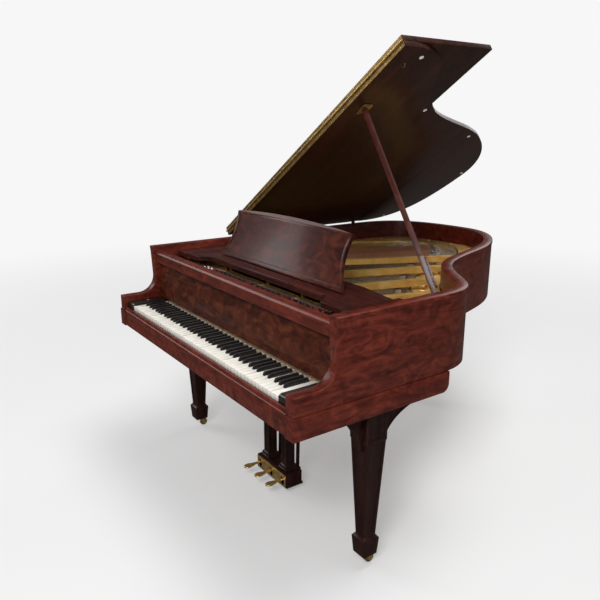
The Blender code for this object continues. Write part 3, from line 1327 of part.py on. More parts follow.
def build_case_hinge(name, y, lid):
    """A fixed strap on the rim's side with the middle knuckle, and a leaf on the lid with two."""
    length = CASE_HINGE_LENGTH
    third = length / 3
    radius = HINGE_KNUCKLE_RADIUS
    wall = 0.004
    side_x = -HALF_WIDTH - RIM_BEAD_PROUD - GAP
    low_z = RIM_TOP_Z - 0.036
    neck_z = LID_AXIS_Z - 0.002
    outline = [(side_x, low_z), (side_x, RIM_TOP_Z - 0.002), (LID_AXIS_X + wall / 2, RIM_TOP_Z + 0.004),
               (LID_AXIS_X + wall / 2, neck_z), (LID_AXIS_X - wall / 2, neck_z),
               (LID_AXIS_X - wall / 2, RIM_TOP_Z - 0.001), (side_x - wall,
                                                            RIM_TOP_Z - 0.010), (side_x - wall, low_z)]
    half = third / 2 - GAP
    mesh = extruded(name, [outline], -half, half, "XZ")
    mesh = union(mesh, cylinder_mesh("knuckle", radius, 2 * half, "Y", 12, (LID_AXIS_X, 0.0, LID_AXIS_Z)))
    fixed = smooth(mesh_object(name, mesh, BRASS, ORIGIN, (0.0, y, 0.0)))
    leaf_name = name.replace("case_hinge", "lid_strap")
    plate = box_mesh(leaf_name, (0.0, -length / 2, LID_TOP), (HINGE_STRAP_LENGTH, length / 2, radius))
    notch = box_mesh("notch", (-0.01, -third / 2, -0.02), (radius + 0.001, third / 2, 0.02))
    plate = cut(plate, notch)
    ends = combined("ends", [cylinder_mesh("end", radius, third - GAP, "Y", 12, (0.0, side * third,
                                                                                 0.0)) for side in (-1,
                                                                                                    1)])
    leaf = mesh_object(leaf_name, union(plate, ends), BRASS, lid, (0.0, y, 0.0))
    return fixed, smooth(leaf)


def lid_matrix():
    """From the closed lid's own axes to the case."""
    return Matrix.Translation((LID_AXIS_X, 0.0, LID_AXIS_Z)) @ Matrix.Rotation(-LID_ANGLE, 4, "Y")


def prop_frame():
    """Axes at the prop's pivot: Z up the prop, X along its pin, Y the way it folds."""
    contact = LID_UNDERSIDE - CUP_PLATE_THICKNESS - GAP
    tip = lid_matrix() @ Vector((PROP_TIP_U, PROP_TIP_Y, contact))
    up = (lid_matrix().to_3x3() @ Vector((0.0, 0.0, 1.0))).normalized()
    base = tip - up * PROP_LENGTH
    flat = Vector((math.cos(PROP_FOLD_AZIMUTH), math.sin(PROP_FOLD_AZIMUTH), 0.0))
    fold = (flat - up * flat.dot(up)).normalized()
    pin = fold.cross(up).normalized()
    matrix = Matrix((pin, fold, up)).transposed().to_4x4()
    matrix.translation = base
    return matrix


def build_prop():
    """A square stick with a wider lower part and a rounded end on its pin."""
    half = PROP_WIDTH / 2
    base = PROP_BASE_WIDTH / 2
    outline = arc((0.0, 0.0), base, 180.0, 360.0, 8)
    outline += [(base, 0.150), (half, 0.162), (half, PROP_LENGTH - 0.006), (half - 0.005, PROP_LENGTH),
                (-half + 0.005, PROP_LENGTH), (-half, PROP_LENGTH - 0.006), (-half, 0.162), (-base,
                                                                                             0.150)]
    mesh = extruded("lid_prop", [outline], -half, half, "YZ")
    bore = cylinder_mesh("bore", PROP_PIN_RADIUS + 2 * GAP, 0.06, "X", 12)
    mesh = cut(mesh, bore)
    item = mesh_object("lid_prop", mesh, MAHOGANY, ORIGIN)
    item.matrix_local = prop_frame()
    return smooth(item)


def build_half_prop(prop):
    """The short stick lies against the long one and turns on a pin near its foot."""
    side = PROP_WIDTH / 2 + GAP
    half = 0.0085
    outline = arc((0.0, 0.0), half, 180.0, 360.0, 6)
    outline += [(half, HALF_PROP_LENGTH - 0.016), (half - 0.005, HALF_PROP_LENGTH - 0.010),
                (half - 0.005, HALF_PROP_LENGTH), (-half, HALF_PROP_LENGTH)]
    mesh = extruded("half_prop", [outline], side, side + HALF_PROP_THICKNESS, "YZ")
    return smooth(mesh_object("half_prop", mesh, MAHOGANY, prop, (0.0, 0.0, HALF_PROP_PIVOT)))


def build_prop_bracket():
    """A forked foot with the prop's pin, on a post that stands on the plate."""
    frame = prop_frame()
    inner = PROP_WIDTH / 2 + 2 * GAP
    wall = 0.004
    depth = PROP_BASE_WIDTH / 2 + 0.003
    cheeks = [box_mesh("cheek", (side * inner if side > 0 else -inner - wall, -0.011, -depth - 0.006),
                       (inner + wall if side > 0 else -inner, 0.011, 0.009)) for side in (-1, 1)]
    base = box_mesh("base", (-inner - wall, -0.011, -depth - 0.006), (inner + wall, 0.011, -depth))
    mesh = union(base, combined("cheeks", cheeks))
    mesh = union(mesh, cylinder_mesh("pin", PROP_PIN_RADIUS, 2 * (inner + wall) - 0.001, "X", 12))
    mesh.transform(frame)
    foot = frame @ Vector((0.0, 0.0, -depth - 0.004))
    post = box_mesh("post", (foot.x - 0.011, foot.y - 0.011, PLATE_TOP_Z + GAP), (foot.x + 0.011,
                                                                                  foot.y + 0.011, foot.z))
    shoe = box_mesh("shoe", (foot.x - 0.022, foot.y - 0.022, PLATE_TOP_Z + GAP), (foot.x + 0.022,
                                                                                  foot.y + 0.022, PLATE_TOP_Z + 0.006))
    mesh = union(mesh, post, shoe)
    return mesh_object("prop_bracket", mesh, BRASS, ORIGIN)


def build_cup_plate(lid):
    """The plate under the lid that the prop's tip bears on, with its corners cut off."""
    half_u = CUP_PLATE_LENGTH / 2
    half_y = CUP_PLATE_WIDTH / 2
    corner = CUP_PLATE_CORNER
    outline = []
    for side_u, side_y in ((1, 1), (-1, 1), (-1, -1), (1, -1)):
        first = (PROP_TIP_U + side_u * half_u, PROP_TIP_Y + side_y * (half_y - corner))
        second = (PROP_TIP_U + side_u * (half_u - corner), PROP_TIP_Y + side_y * half_y)
        outline += [first, second] if side_u == side_y else [second, first]
    mesh = extruded("prop_cup_plate", [outline], LID_UNDERSIDE - CUP_PLATE_THICKNESS, LID_UNDERSIDE - GAP)
    return mesh_object("prop_cup_plate", mesh, BRASS, lid)


# Music desk

def build_desk_tray():
    """The sliding tray, cut back in front of the desk and carrying its ledge."""
    radius = TRAY_SCOOP_RADIUS
    wing = TRAY_HALF_WIDTH - GAP
    scoop = TRAY_SCOOP_HALF_WIDTH
    right = [(wing, TRAY_WING_Y)]
    right += [(wing, TRAY_BACK_Y - 0.030), (0.400, TRAY_BACK_Y)]
    outline = [(scoop, TRAY_WING_Y)] + right + [(-x, y) for x, y in reversed(right)] + [(-scoop,
                                                                                         TRAY_WING_Y)]
    outline += arc((-scoop + radius, TRAY_SCOOP_Y - radius), radius, 180.0, 90.0, 5)
    outline += arc((scoop - radius, TRAY_SCOOP_Y - radius), radius, 90.0, 0.0, 5)
    mesh = extruded("desk_tray", [outline], TRAY_TOP_Z - TRAY_THICKNESS, TRAY_TOP_Z)
    lip = [(TRAY_SCOOP_Y + 0.002, TRAY_TOP_Z - 0.004), (TRAY_SCOOP_Y + 0.002, TRAY_TOP_Z + 0.003),
           (TRAY_SCOOP_Y + 0.005, TRAY_TOP_Z + 0.006), (TRAY_SCOOP_Y + 0.010, TRAY_TOP_Z + 0.006),
           (TRAY_SCOOP_Y + 0.014, TRAY_TOP_Z + 0.002), (TRAY_SCOOP_Y + 0.014, TRAY_TOP_Z - 0.004)]
    half = TRAY_SCOOP_HALF_WIDTH - TRAY_SCOOP_RADIUS
    mesh = union(mesh, extruded("ledge_lip", [lip], -half, half, "YZ"))
    batten = box_mesh("batten", (-DESK_BOTTOM_HALF_WIDTH, DESK_Y - DESK_THICKNESS - 0.004,
                                 TRAY_TOP_Z - 0.004),
                      (DESK_BOTTOM_HALF_WIDTH, DESK_Y, DESK_AXIS_Z - 2 * GAP))
    mesh = union(mesh, batten)
    item = mesh_object("desk_tray", mesh, MAHOGANY, ORIGIN)
    return smooth(item)


def build_desk_rail(side, name):
    """A fixed side shelf with a lip below it that carries the tray."""
    inner = TRAY_HALF_WIDTH + GAP
    bottom = TRAY_TOP_Z - TRAY_THICKNESS
    outline = [(side * inner, TRAY_TOP_Z), (side * inner, bottom - GAP),
               (side * (inner - RAIL_LIP_WIDTH), bottom - GAP),
               (side * (inner - RAIL_LIP_WIDTH), bottom - GAP - RAIL_LIP_THICKNESS),
               (side * FIT_X, bottom - GAP - RAIL_LIP_THICKNESS), (side * FIT_X, TRAY_TOP_Z)]
    mesh = extruded(name, [outline], -TRAY_BACK_Y, -TRAY_WING_Y, "XZ")
    return mesh_object(name, mesh, MAHOGANY, ORIGIN)


def build_music_desk(tray):
    """A waisted board with an arched top, hinged on the tray at its bottom back edge."""
    steps = 8
    side = []
    for step in range(steps + 1):
        t = step / steps
        straight = DESK_BOTTOM_HALF_WIDTH + (DESK_TOP_HALF_WIDTH - DESK_BOTTOM_HALF_WIDTH) * t
        middle = (DESK_BOTTOM_HALF_WIDTH + DESK_TOP_HALF_WIDTH) / 2 - DESK_WAIST_HALF_WIDTH
        side.append((straight - 4 * t * (1 - t) * middle, DESK_HEIGHT * t))
    top = []
    for step in range(1, 12):
        x = DESK_TOP_HALF_WIDTH * (1 - 2 * step / 12)
        lift = DESK_ARCH * math.sin(math.pi * step / 12) ** 0.7
        top.append((x, DESK_HEIGHT + lift))
    outline = side + top + [(-x, z) for x, z in reversed(side)]
    outline[0] = (outline[0][0], GAP)
    outline[-1] = (outline[-1][0], GAP)
    front = DESK_THICKNESS + GAP
    mesh = extruded("music_desk", [outline], GAP, front, "XZ")
    rib_y = STRUT_PIVOT_BACK
    ears = []
    for side_sign in (-1, 1):
        middle = side_sign * (STRUT_PIECE_WIDTH / 2 + 0.0055)
        ears.append(box_mesh("ear", (middle - 0.004, -0.002, STRUT_PIVOT_HEIGHT - 0.004),
                             (middle + 0.004, rib_y + 0.002, STRUT_PIVOT_HEIGHT + 0.004)))
    mesh = union(mesh, combined("ears", ears))
    item = mesh_object("music_desk", mesh, MAHOGANY, tray, (0.0, DESK_Y, DESK_AXIS_Z))
    item.rotation_euler = (-DESK_LEAN, 0.0, 0.0)
    return smooth(bevelled(item, 0.0015), 40.0)


def build_desk_strut(desk):
    """The strut is as long as its hinge is far from the desk's, so its foot stays at tray level."""
    length = math.hypot(STRUT_PIVOT_HEIGHT, STRUT_PIVOT_BACK)
    half = STRUT_PIECE_THICKNESS / 2
    reach = length - STRUT_FOOT_RISE
    outline = arc((0.0, 0.0), half, 0.0, 180.0, 6) + arc((0.0, -reach), half, 180.0, 360.0, 6)
    mesh = extruded("desk_strut", [outline], -STRUT_PIECE_WIDTH / 2, STRUT_PIECE_WIDTH / 2, "YZ")
    item = mesh_object("desk_strut", mesh, MAHOGANY, desk, (0.0, STRUT_PIVOT_BACK, STRUT_PIVOT_HEIGHT))
    arm = math.pi / 2 - DESK_LEAN - math.atan2(STRUT_PIVOT_BACK, STRUT_PIVOT_HEIGHT)
    foot_lean = math.pi / 2 - arm
    item.rotation_euler = (foot_lean + DESK_LEAN, 0.0, 0.0)
    return smooth(item)


def main():
    build_outer_rim()
    build_inner_rim()
    build_keybed()
    build_key_slip()
    build_key_block(-1, "key_block_bass")
    build_key_block(1, "key_block_treble")
    build_stretcher()
    build_fallboard()
    build_soundboard()
    build_iron_plate()
    build_pin_block()
    build_bridge("treble_bridge", TREBLE_BRIDGE_PATH, SOUNDBOARD_TOP_Z + GAP, TREBLE_STRING_Z,
                 range(BASS_NOTES, KEY_COUNT), TREBLE_STRING_RADIUS, STEEL)
    build_bridge("bass_bridge", BASS_BRIDGE_PATH, SOUNDBOARD_TOP_Z + GAP, BASS_STRING_Z,
                 range(BASS_NOTES), BASS_STRING_RADIUS, COPPER)
    frame = build_key_frame()
    for step, name in enumerate(FREE_KEYS):
        build_free_key(FIRST_FREE_KEY + step, "key_" + name, frame)
    build_action_stack(frame)
    build_damper_set()
    side_brackets = ((-1, BRACKET_FRONT_LENGTH), (1, BRACKET_BACK_LENGTH))
    build_leg("leg_bass", -LEG_X, LEG_Y, KEYBED_BOTTOM_Z, side_brackets)
    build_leg("leg_treble", LEG_X, LEG_Y, KEYBED_BOTTOM_Z, side_brackets)
    build_leg("leg_tail", TAIL_LEG_X, TAIL_LEG_Y, TAIL_BLOCK_BOTTOM_Z, ())
    build_caster("caster_bass", -LEG_X, LEG_Y)
    build_caster("caster_treble", LEG_X, LEG_Y)
    build_caster("caster_tail", TAIL_LEG_X, TAIL_LEG_Y)
    build_lyre()
    build_pedal_plate()
    build_pedal("pedal_left", -1)
    build_pedal("pedal_middle", 0)
    build_pedal("pedal_right", 1)
    build_lyre_brace()
    lid = build_lid()
    flap = build_flap(lid)
    build_lid_hinge_leaves(lid, flap)
    build_case_hinge("case_hinge_front", CASE_HINGE_YS[0], lid)
    build_case_hinge("case_hinge_rear", CASE_HINGE_YS[1], lid)
    prop = build_prop()
    build_half_prop(prop)
    build_prop_bracket()
    build_cup_plate(lid)
    tray = build_desk_tray()
    build_desk_rail(-1, "desk_rail_bass")
    build_desk_rail(1, "desk_rail_treble")
    desk = build_music_desk(tray)
    build_desk_strut(desk)


main()
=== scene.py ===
"""Looks of the grand piano: every piece rides on the body it belongs to.

Lengths are in metres. The instrument's own coordinates count y from the front
of the arms; BASE moves them to the model's origin. Lid pieces use axes on the
lid's hinge, with x across the lid and z through its thickness.
"""

import math
import random

import bmesh
import bpy
from mathutils import Matrix, Vector


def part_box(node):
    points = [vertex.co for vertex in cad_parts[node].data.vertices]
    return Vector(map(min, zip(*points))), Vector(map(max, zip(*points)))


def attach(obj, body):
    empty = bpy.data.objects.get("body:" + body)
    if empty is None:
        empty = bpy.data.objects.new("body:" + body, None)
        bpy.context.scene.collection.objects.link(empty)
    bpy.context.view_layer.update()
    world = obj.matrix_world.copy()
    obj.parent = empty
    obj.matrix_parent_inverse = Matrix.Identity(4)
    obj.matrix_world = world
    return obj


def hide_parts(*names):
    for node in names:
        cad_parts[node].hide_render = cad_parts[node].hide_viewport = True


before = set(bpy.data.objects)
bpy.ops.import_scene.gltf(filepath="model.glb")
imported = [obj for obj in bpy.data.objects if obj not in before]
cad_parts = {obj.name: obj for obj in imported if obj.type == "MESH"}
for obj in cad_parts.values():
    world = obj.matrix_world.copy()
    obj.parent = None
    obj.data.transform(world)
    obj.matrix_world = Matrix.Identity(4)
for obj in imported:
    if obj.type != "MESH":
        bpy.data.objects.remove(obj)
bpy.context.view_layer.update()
RANDOM = random.Random(7)
BACKGROUND = 0.93

GAP = 0.0003
FRONT_Y = -0.921
BASE = Matrix.Translation((0.0, FRONT_Y, 0.0))

HALF_WIDTH = 0.725
CASE_LENGTH = 1.842
RIM_THICKNESS = 0.043
RIM_BOTTOM_Z = 0.695
RIM_TOP_Z = 0.981
ARM_TOP_Z = 0.761
CHEEK_Y = 0.167
CHEEK_TOP_Y = 0.158
CHEEK_RADIUS = 0.080
INNER_X = HALF_WIDTH - RIM_THICKNESS
FIT_X = INNER_X - GAP
KEYBED_BOTTOM_Z = 0.619
KEYBED_TOP_Z = 0.685
KEYBED_DEPTH = 0.500
BAND_PROUD = 0.004
BAND_LENGTH = 0.670
KEY_SLIP_TOP_Z = 0.708
KEY_SLIP_BOTTOM_Z = 0.6673
KEY_BLOCK_TOP_Z = 0.735
STRETCHER_Y = 0.172
STRETCHER_BOTTOM_Z = 0.905
STRETCHER_TOP_Z = 0.955
FALLBOARD_PIVOT = (0.0, 0.190, 0.757)
FALLBOARD_LEAN = math.radians(7.0)

KEY_COUNT = 88
KEYBOARD_SPAN = 1.225
KEYBOARD_HALF = KEYBOARD_SPAN / 2
WHITE_PITCH = KEYBOARD_SPAN / 52
KEY_FRONT_Y = 0.0185
KEY_BACK_Y = 0.3985
KEY_TOP_Z = 0.726
KEY_BOTTOM_Z = 0.704
KEY_HEAD_Y = 0.0685
FIRST_FREE_KEY = 39
FREE_KEYS = ("c4", "c_sharp4", "d4", "d_sharp4", "e4", "f4", "f_sharp4", "g4", "g_sharp4", "a4",
             "a_sharp4", "b4")
SHARP_OFFSETS = {1: -0.0028, 3: 0.0028, 6: -0.0038, 8: 0.0, 10: 0.0038}

SOUNDBOARD_TOP_Z = 0.8763
PLATE_BOTTOM_Z = 0.8766
PLATE_TOP_Z = 0.8886
PLATE_FRONT_Y = 0.232
PLATE_WEB_BACK_Y = 0.402
AGRAFFE_Y = 0.385
TREBLE_STRING_Z = 0.897
BASS_STRING_Z = 0.909
BASS_NOTES = 20
SECTION_STARTS = (20, 42, 59, 73)
STRING_SPAN = 1.264
SECTION_GAP = 0.028
STRUT_TARGETS = ((0.180, 1.500), (0.270, 1.250), (0.400, 1.000), (0.560, 0.850))
DAMPER_Y = 0.462

LID_AXIS_X = -0.7385
LID_AXIS_Z = 1.003
PROP_LENGTH = 0.763
PROP_TIP_Y = 0.674
PROP_REACH = math.hypot(0.63795 - LID_AXIS_X, 0.94993 - LID_AXIS_Z)
PROP_STAND = PROP_LENGTH + 0.0233
PROP_TIP_U = math.sqrt(PROP_REACH ** 2 - PROP_STAND ** 2)
LID_ANGLE = math.asin(PROP_STAND / PROP_REACH) + math.atan2(0.94993 - LID_AXIS_Z, 0.63795 - LID_AXIS_X)
LID_UNDERSIDE = -0.019
LID_TOP = 0.003
LID_SPLIT_Y = 0.585
LID_LOW = HALF_WIDTH * -1 - 0.010 - LID_AXIS_X
LID_HIGH = HALF_WIDTH + 0.018 - LID_AXIS_X
CASE_HINGE_YS = (0.640, 1.440)
LID = Matrix.Translation((LID_AXIS_X, FRONT_Y, LID_AXIS_Z)) @ Matrix.Rotation(-LID_ANGLE, 4, "Y")
FLAP = LID @ Matrix.Translation((0.0, LID_SPLIT_Y, LID_TOP))

LEG_X = 0.665
LEG_Y = 0.352
TAIL_LEG = (-0.250, 1.480)
LYRE_X = 0.020
LYRE_Y = 0.406

TRAY_TOP_Z = 0.952
RAIL_LIP_BOTTOM_Z = 0.9269
DESK_AXIS = Vector((0.0, 0.413, 0.9553))
DESK_LEAN = math.radians(20.5)
DESK = BASE @ Matrix.Translation(DESK_AXIS) @ Matrix.Rotation(-DESK_LEAN, 4, "X")


# Materials

def shader_material(name):
    material = bpy.data.materials.new(name)
    material.use_nodes = True
    tree = material.node_tree
    return material, tree.nodes, tree.links, tree.nodes["Principled BSDF"]


def textured(nodes, links, scale, detail, stretch=(1.0, 1.0, 1.0), turn=(0.0, 0.0, 0.0), distortion=0.0):
    """Noise in the piece's own coordinates, stretched along an axis."""
    place = nodes.new("ShaderNodeTexCoord")
    mapping = nodes.new("ShaderNodeMapping")
    mapping.inputs["Scale"].default_value = stretch
    mapping.inputs["Rotation"].default_value = turn
    noise = nodes.new("ShaderNodeTexNoise")
    noise.inputs["Scale"].default_value = scale
    noise.inputs["Detail"].default_value = detail
    noise.inputs["Distortion"].default_value = distortion
    links.new(place.outputs["Object"], mapping.inputs["Vector"])
    links.new(mapping.outputs["Vector"], noise.inputs["Vector"])
    return noise.outputs["Fac"]


def ramp(nodes, links, source, stops):
    node = nodes.new("ShaderNodeValToRGB")
    elements = node.color_ramp.elements
    while len(elements) < len(stops):
        elements.new(0.5)
    for element, (position, colour) in zip(elements, stops):
        element.position = position
        element.color = (*colour, 1.0)
    links.new(source, node.inputs["Fac"])
    return node.outputs["Color"]


def mixed(nodes, links, first, second, amount, mode="MIX"):
    node = nodes.new("ShaderNodeMix")
    node.data_type = "RGBA"
    node.blend_type = mode
    node.inputs["Factor"].default_value = amount
    links.new(first, node.inputs[6])
    links.new(second, node.inputs[7])
    return node.outputs[2]


def ranged(nodes, links, source, low, high):
    node = nodes.new("ShaderNodeMapRange")
    node.inputs["To Min"].default_value = low
    node.inputs["To Max"].default_value = high
    links.new(source, node.inputs["Value"])
    return node.outputs["Result"]


def bumped(nodes, links, shader, source, distance, strength=0.4):
    bump = nodes.new("ShaderNodeBump")
    bump.inputs["Distance"].default_value = distance
    bump.inputs["Strength"].default_value = strength
    links.new(source, bump.inputs["Height"])
    links.new(bump.outputs["Normal"], shader.inputs["Normal"])


def wood(name, dark, middle, light, along="X", figure=0.5, rough=(0.26, 0.42), coat=0.15, size=1.0):
    """Polished wood: long grain, darker pores and a mottled figure across the grain."""
    material, nodes, links, shader = shader_material(name)
    axis = "XYZ".index(along)
    grain_stretch = [9.0, 9.0, 9.0]
    grain_stretch[axis] = 0.7
    figure_stretch = [1.0, 1.0, 1.0]
    figure_stretch[axis] = 0.55
    pore_stretch = [60.0, 60.0, 60.0]
    pore_stretch[axis] = 3.0
    grain = textured(nodes, links, 3.2 * size, 6.0, grain_stretch, distortion=0.9)
    mottle = textured(nodes, links, 17.0 * size, 6.0, figure_stretch, (0.35, 0.45, 0.35), 2.2)
    pores = textured(nodes, links, 9.0 * size, 3.0, pore_stretch)
    base = ramp(nodes, links, grain, ((0.28, dark), (0.52, middle), (0.76, light)))
    cloud = ramp(nodes, links, mottle, ((0.34, dark), (0.50, middle), (0.68, light)))
    colour = mixed(nodes, links, base, cloud, figure)
    specks = ramp(nodes, links, pores, ((0.30, (0.55, 0.5, 0.5)), (0.48, (1.0, 1.0, 1.0)),
                                        (1.0, (1.0, 1.0, 1.0))))
    colour = mixed(nodes, links, colour, specks, 0.8, "MULTIPLY")
    links.new(colour, shader.inputs["Base Color"])
    links.new(ranged(nodes, links, mottle, rough[0], rough[1]), shader.inputs["Roughness"])
    shader.inputs["Coat Weight"].default_value = coat
    shader.inputs["Coat Roughness"].default_value = 0.13
    shader.inputs["Specular IOR Level"].default_value = 0.22
    bumped(nodes, links, shader, pores, 0.0004, 0.25)
    return material


def metal(name, dark, light, rough, metallic=1.0, scale=40.0, bump=0.0003, stretch=(1.0, 1.0, 1.0)):
    """Metal with tarnish in patches and a fine worked surface."""
    material, nodes, links, shader = shader_material(name)
    patches = textured(nodes, links, scale, 5.0, stretch)
    fine = textured(nodes, links, scale * 14.0, 3.0)
    links.new(ramp(nodes, links, patches, ((0.30, dark), (0.66, light))), shader.inputs["Base Color"])
    links.new(ranged(nodes, links, patches, rough[1], rough[0]), shader.inputs["Roughness"])
    shader.inputs["Metallic"].default_value = metallic
    bumped(nodes, links, shader, fine, bump, 0.3)
    return material


def plain(name, dark, light, rough, scale=60.0, bump=0.0002, coat=0.0, sheen=0.0, stretch=(1.0, 1.0, 1.0)):
    """Ivory, lacquer, felt or rubber with faint mottling."""
    material, nodes, links, shader = shader_material(name)
    patches = textured(nodes, links, scale, 4.0, stretch)
    fine = textured(nodes, links, scale * 10.0, 2.0)
    links.new(ramp(nodes, links, patches, ((0.30, dark), (0.70, light))), shader.inputs["Base Color"])
    links.new(ranged(nodes, links, patches, rough[0], rough[1]), shader.inputs["Roughness"])
    shader.inputs["Coat Weight"].default_value = coat
    shader.inputs["Sheen Weight"].default_value = sheen
    bumped(nodes, links, shader, fine, bump, 0.4)
    return material


RED_DARK, RED_MID, RED_LIGHT = (0.036, 0.006, 0.004), (0.112, 0.0165, 0.0095), (0.215, 0.036, 0.017)
BROWN_DARK, BROWN_MID, BROWN_LIGHT = (0.022, 0.005, 0.003), (0.078, 0.016, 0.007), (0.150, 0.037, 0.013)
CASE_WOOD = wood("case_wood", RED_DARK, RED_MID, RED_LIGHT, "Y")
CROSS_WOOD = wood("cross_wood", RED_DARK, RED_MID, RED_LIGHT, "X")
FALL_WOOD = wood("fallboard_wood", BROWN_DARK, BROWN_MID, BROWN_LIGHT, "X", 0.7)
DESK_WOOD = wood("desk_wood", (0.020, 0.005, 0.004), (0.066, 0.013, 0.008), (0.120, 0.025, 0.012), "X", 0.75)
TRAY_WOOD = wood("tray_wood", (0.020, 0.006, 0.005), (0.055, 0.013, 0.010), (0.085, 0.020, 0.014), "X", 0.3)
# Lid and flap wood: the case mahogany painted darker, painted shade standing in for the shade on the lid's
# underside
SHADED_LID_WOOD = wood("lid_wood_painted_shade", (0.014, 0.004, 0.0025), (0.034, 0.009, 0.005), (0.062, 0.016, 0.008), "X", 0.35,
                size=0.6)
# Legs, brackets and lyre: the case mahogany painted much darker, painted shade for the shadow under the
# keybed
SHADED_LEG_WOOD = wood("leg_wood_painted_shade", (0.009, 0.0035, 0.003), (0.024, 0.0075, 0.006), (0.042, 0.012, 0.009), "Z", 0.3)
PROP_WOOD = wood("prop_wood", RED_DARK, (0.085, 0.020, 0.014), (0.140, 0.036, 0.026), "Z", 0.4)
BEECH = wood("beech", (0.20, 0.11, 0.05), (0.38, 0.24, 0.12), (0.50, 0.34, 0.19), "Y", 0.15, (0.45, 0.6), 0.0)
KEY_WOOD = wood("key_wood", (0.30, 0.19, 0.09), (0.48, 0.33, 0.18), (0.58, 0.43, 0.26), "Y", 0.1,
                (0.5, 0.65), 0.0)
SPRUCE = wood("spruce", (0.30, 0.16, 0.05), (0.44, 0.26, 0.09), (0.55, 0.36, 0.15), "Y", 0.15, (0.30, 0.42),
              0.25)
GOLD = metal("gold_plate", (0.62, 0.36, 0.085), (0.90, 0.58, 0.19), (0.30, 0.44), 0.45, 18.0, 0.0006)
BRASS = metal("brass", (0.62, 0.40, 0.12), (0.95, 0.70, 0.30), (0.24, 0.40), 0.85, 30.0)
OLD_BRASS = metal("old_brass", (0.22, 0.13, 0.04), (0.48, 0.31, 0.11), (0.30, 0.45), 0.8, 26.0)
STEEL = metal("steel", (0.20, 0.19, 0.18), (0.42, 0.41, 0.39), (0.24, 0.38), 1.0, 50.0)
PIN_STEEL = metal("pin_steel", (0.10, 0.11, 0.13), (0.30, 0.31, 0.33), (0.25, 0.4), 1.0, 80.0)
COPPER = metal("copper", (0.62, 0.24, 0.12), (0.92, 0.46, 0.27), (0.26, 0.40), 1.0, 60.0, 0.0004,
               (1.0, 8.0, 1.0))
IVORY = plain("ivory", (0.84, 0.80, 0.71), (0.92, 0.89, 0.82), (0.20, 0.30), 30.0, 0.0001, 0.2)
EBONY = plain("ebony", (0.006, 0.006, 0.006), (0.018, 0.017, 0.016), (0.22, 0.36), 70.0, 0.0002, 0.15, 0.0,
              (9.0, 1.0, 9.0))
WHITE_FELT = plain("white_felt", (0.55, 0.52, 0.46), (0.80, 0.78, 0.72), (0.85, 0.95), 90.0, 0.001, 0.0, 0.5)
RED_FELT = plain("red_felt", (0.28, 0.02, 0.02), (0.52, 0.06, 0.045), (0.85, 0.95), 120.0, 0.001, 0.0, 0.6)
RUBBER = plain("rubber", (0.03, 0.028, 0.026), (0.06, 0.055, 0.05), (0.55, 0.7), 60.0)


# Shape helpers

def to_mesh(work, name):
    mesh = bpy.data.meshes.new(name)
    work.to_mesh(mesh)
    work.free()
    return mesh


def from_curve(item, name):
    graph = bpy.context.evaluated_depsgraph_get()
    mesh = bpy.data.meshes.new_from_object(item.evaluated_get(graph))
    mesh.name = name
    work = bmesh.new()
    work.from_mesh(mesh)
    bmesh.ops.remove_doubles(work, verts=work.verts, dist=0.00001)
    bmesh.ops.recalc_face_normals(work, faces=work.faces)
    work.to_mesh(mesh)
    work.free()
    bpy.data.objects.remove(item, do_unlink=True)
    return mesh


def linked(name, data):
    item = bpy.data.objects.new(name, data)
    bpy.context.scene.collection.objects.link(item)
    return item


TO_YZ = Matrix(((0, 0, 1, 0), (1, 0, 0, 0), (0, 1, 0, 0), (0, 0, 0, 1)))
TO_XZ = Matrix(((1, 0, 0, 0), (0, 0, -1, 0), (0, 1, 0, 0), (0, 0, 0, 1)))


def extruded(outlines, low, high, plane="XY"):
    curve = bpy.data.curves.new("outline", "CURVE")
    curve.dimensions = "2D"
    curve.fill_mode = "BOTH"
    curve.extrude = (high - low) / 2
    for outline in outlines:
        spline = curve.splines.new("POLY")
        spline.points.add(len(outline) - 1)
        for point, (across, along) in zip(spline.points, outline):
            point.co = (across, along, 0.0, 1.0)
        spline.use_cyclic_u = True
    mesh = from_curve(linked("outline", curve), "outline")
    mesh.transform(Matrix.Translation((0.0, 0.0, (low + high) / 2)))
    if plane == "YZ":
        mesh.transform(TO_YZ)
    if plane == "XZ":
        mesh.transform(TO_XZ)
    return mesh


def swept(path, profile, cyclic=False):
    shape = bpy.data.curves.new("profile", "CURVE")
    shape.dimensions = "2D"
    outline = shape.splines.new("POLY")
    outline.points.add(len(profile) - 1)
    for point, (across, up) in zip(outline.points, profile):
        point.co = (across, up, 0.0, 1.0)
    outline.use_cyclic_u = True
    shape_item = linked("profile", shape)
    curve = bpy.data.curves.new("path", "CURVE")
    curve.dimensions = "3D"
    curve.twist_mode = "Z_UP"
    curve.bevel_mode = "OBJECT"
    curve.bevel_object = shape_item
    curve.use_fill_caps = True
    spline = curve.splines.new("POLY")
    spline.points.add(len(path) - 1)
    for point, place in zip(spline.points, path):
        point.co = (place[0], place[1], place[2] if len(place) > 2 else 0.0, 1.0)
    spline.use_cyclic_u = cyclic
    mesh = from_curve(linked("path", curve), "swept")
    bpy.data.objects.remove(shape_item, do_unlink=True)
    return mesh


def tubes(paths, radius, resolution=1):
    curve = bpy.data.curves.new("wires", "CURVE")
    curve.dimensions = "3D"
    curve.twist_mode = "Z_UP"
    curve.bevel_depth = radius
    curve.bevel_resolution = resolution
    curve.use_fill_caps = True
    for path in paths:
        spline = curve.splines.new("POLY")
        spline.points.add(len(path) - 1)
        for point, place in zip(spline.points, path):
            point.co = (*place, 1.0)
    return from_curve(linked("wires", curve), "wires")


def box(low, high, top_scale=(1.0, 1.0)):
    work = bmesh.new()
    bmesh.ops.create_cube(work, size=1.0)
    size = Vector(high) - Vector(low)
    middle = (Vector(high) + Vector(low)) / 2
    for vertex in work.verts:
        if vertex.co.z > 0.0:
            vertex.co.x *= top_scale[0]
            vertex.co.y *= top_scale[1]
        vertex.co = Vector((vertex.co.x * size.x, vertex.co.y * size.y, vertex.co.z * size.z)) + middle
    return to_mesh(work, "box")


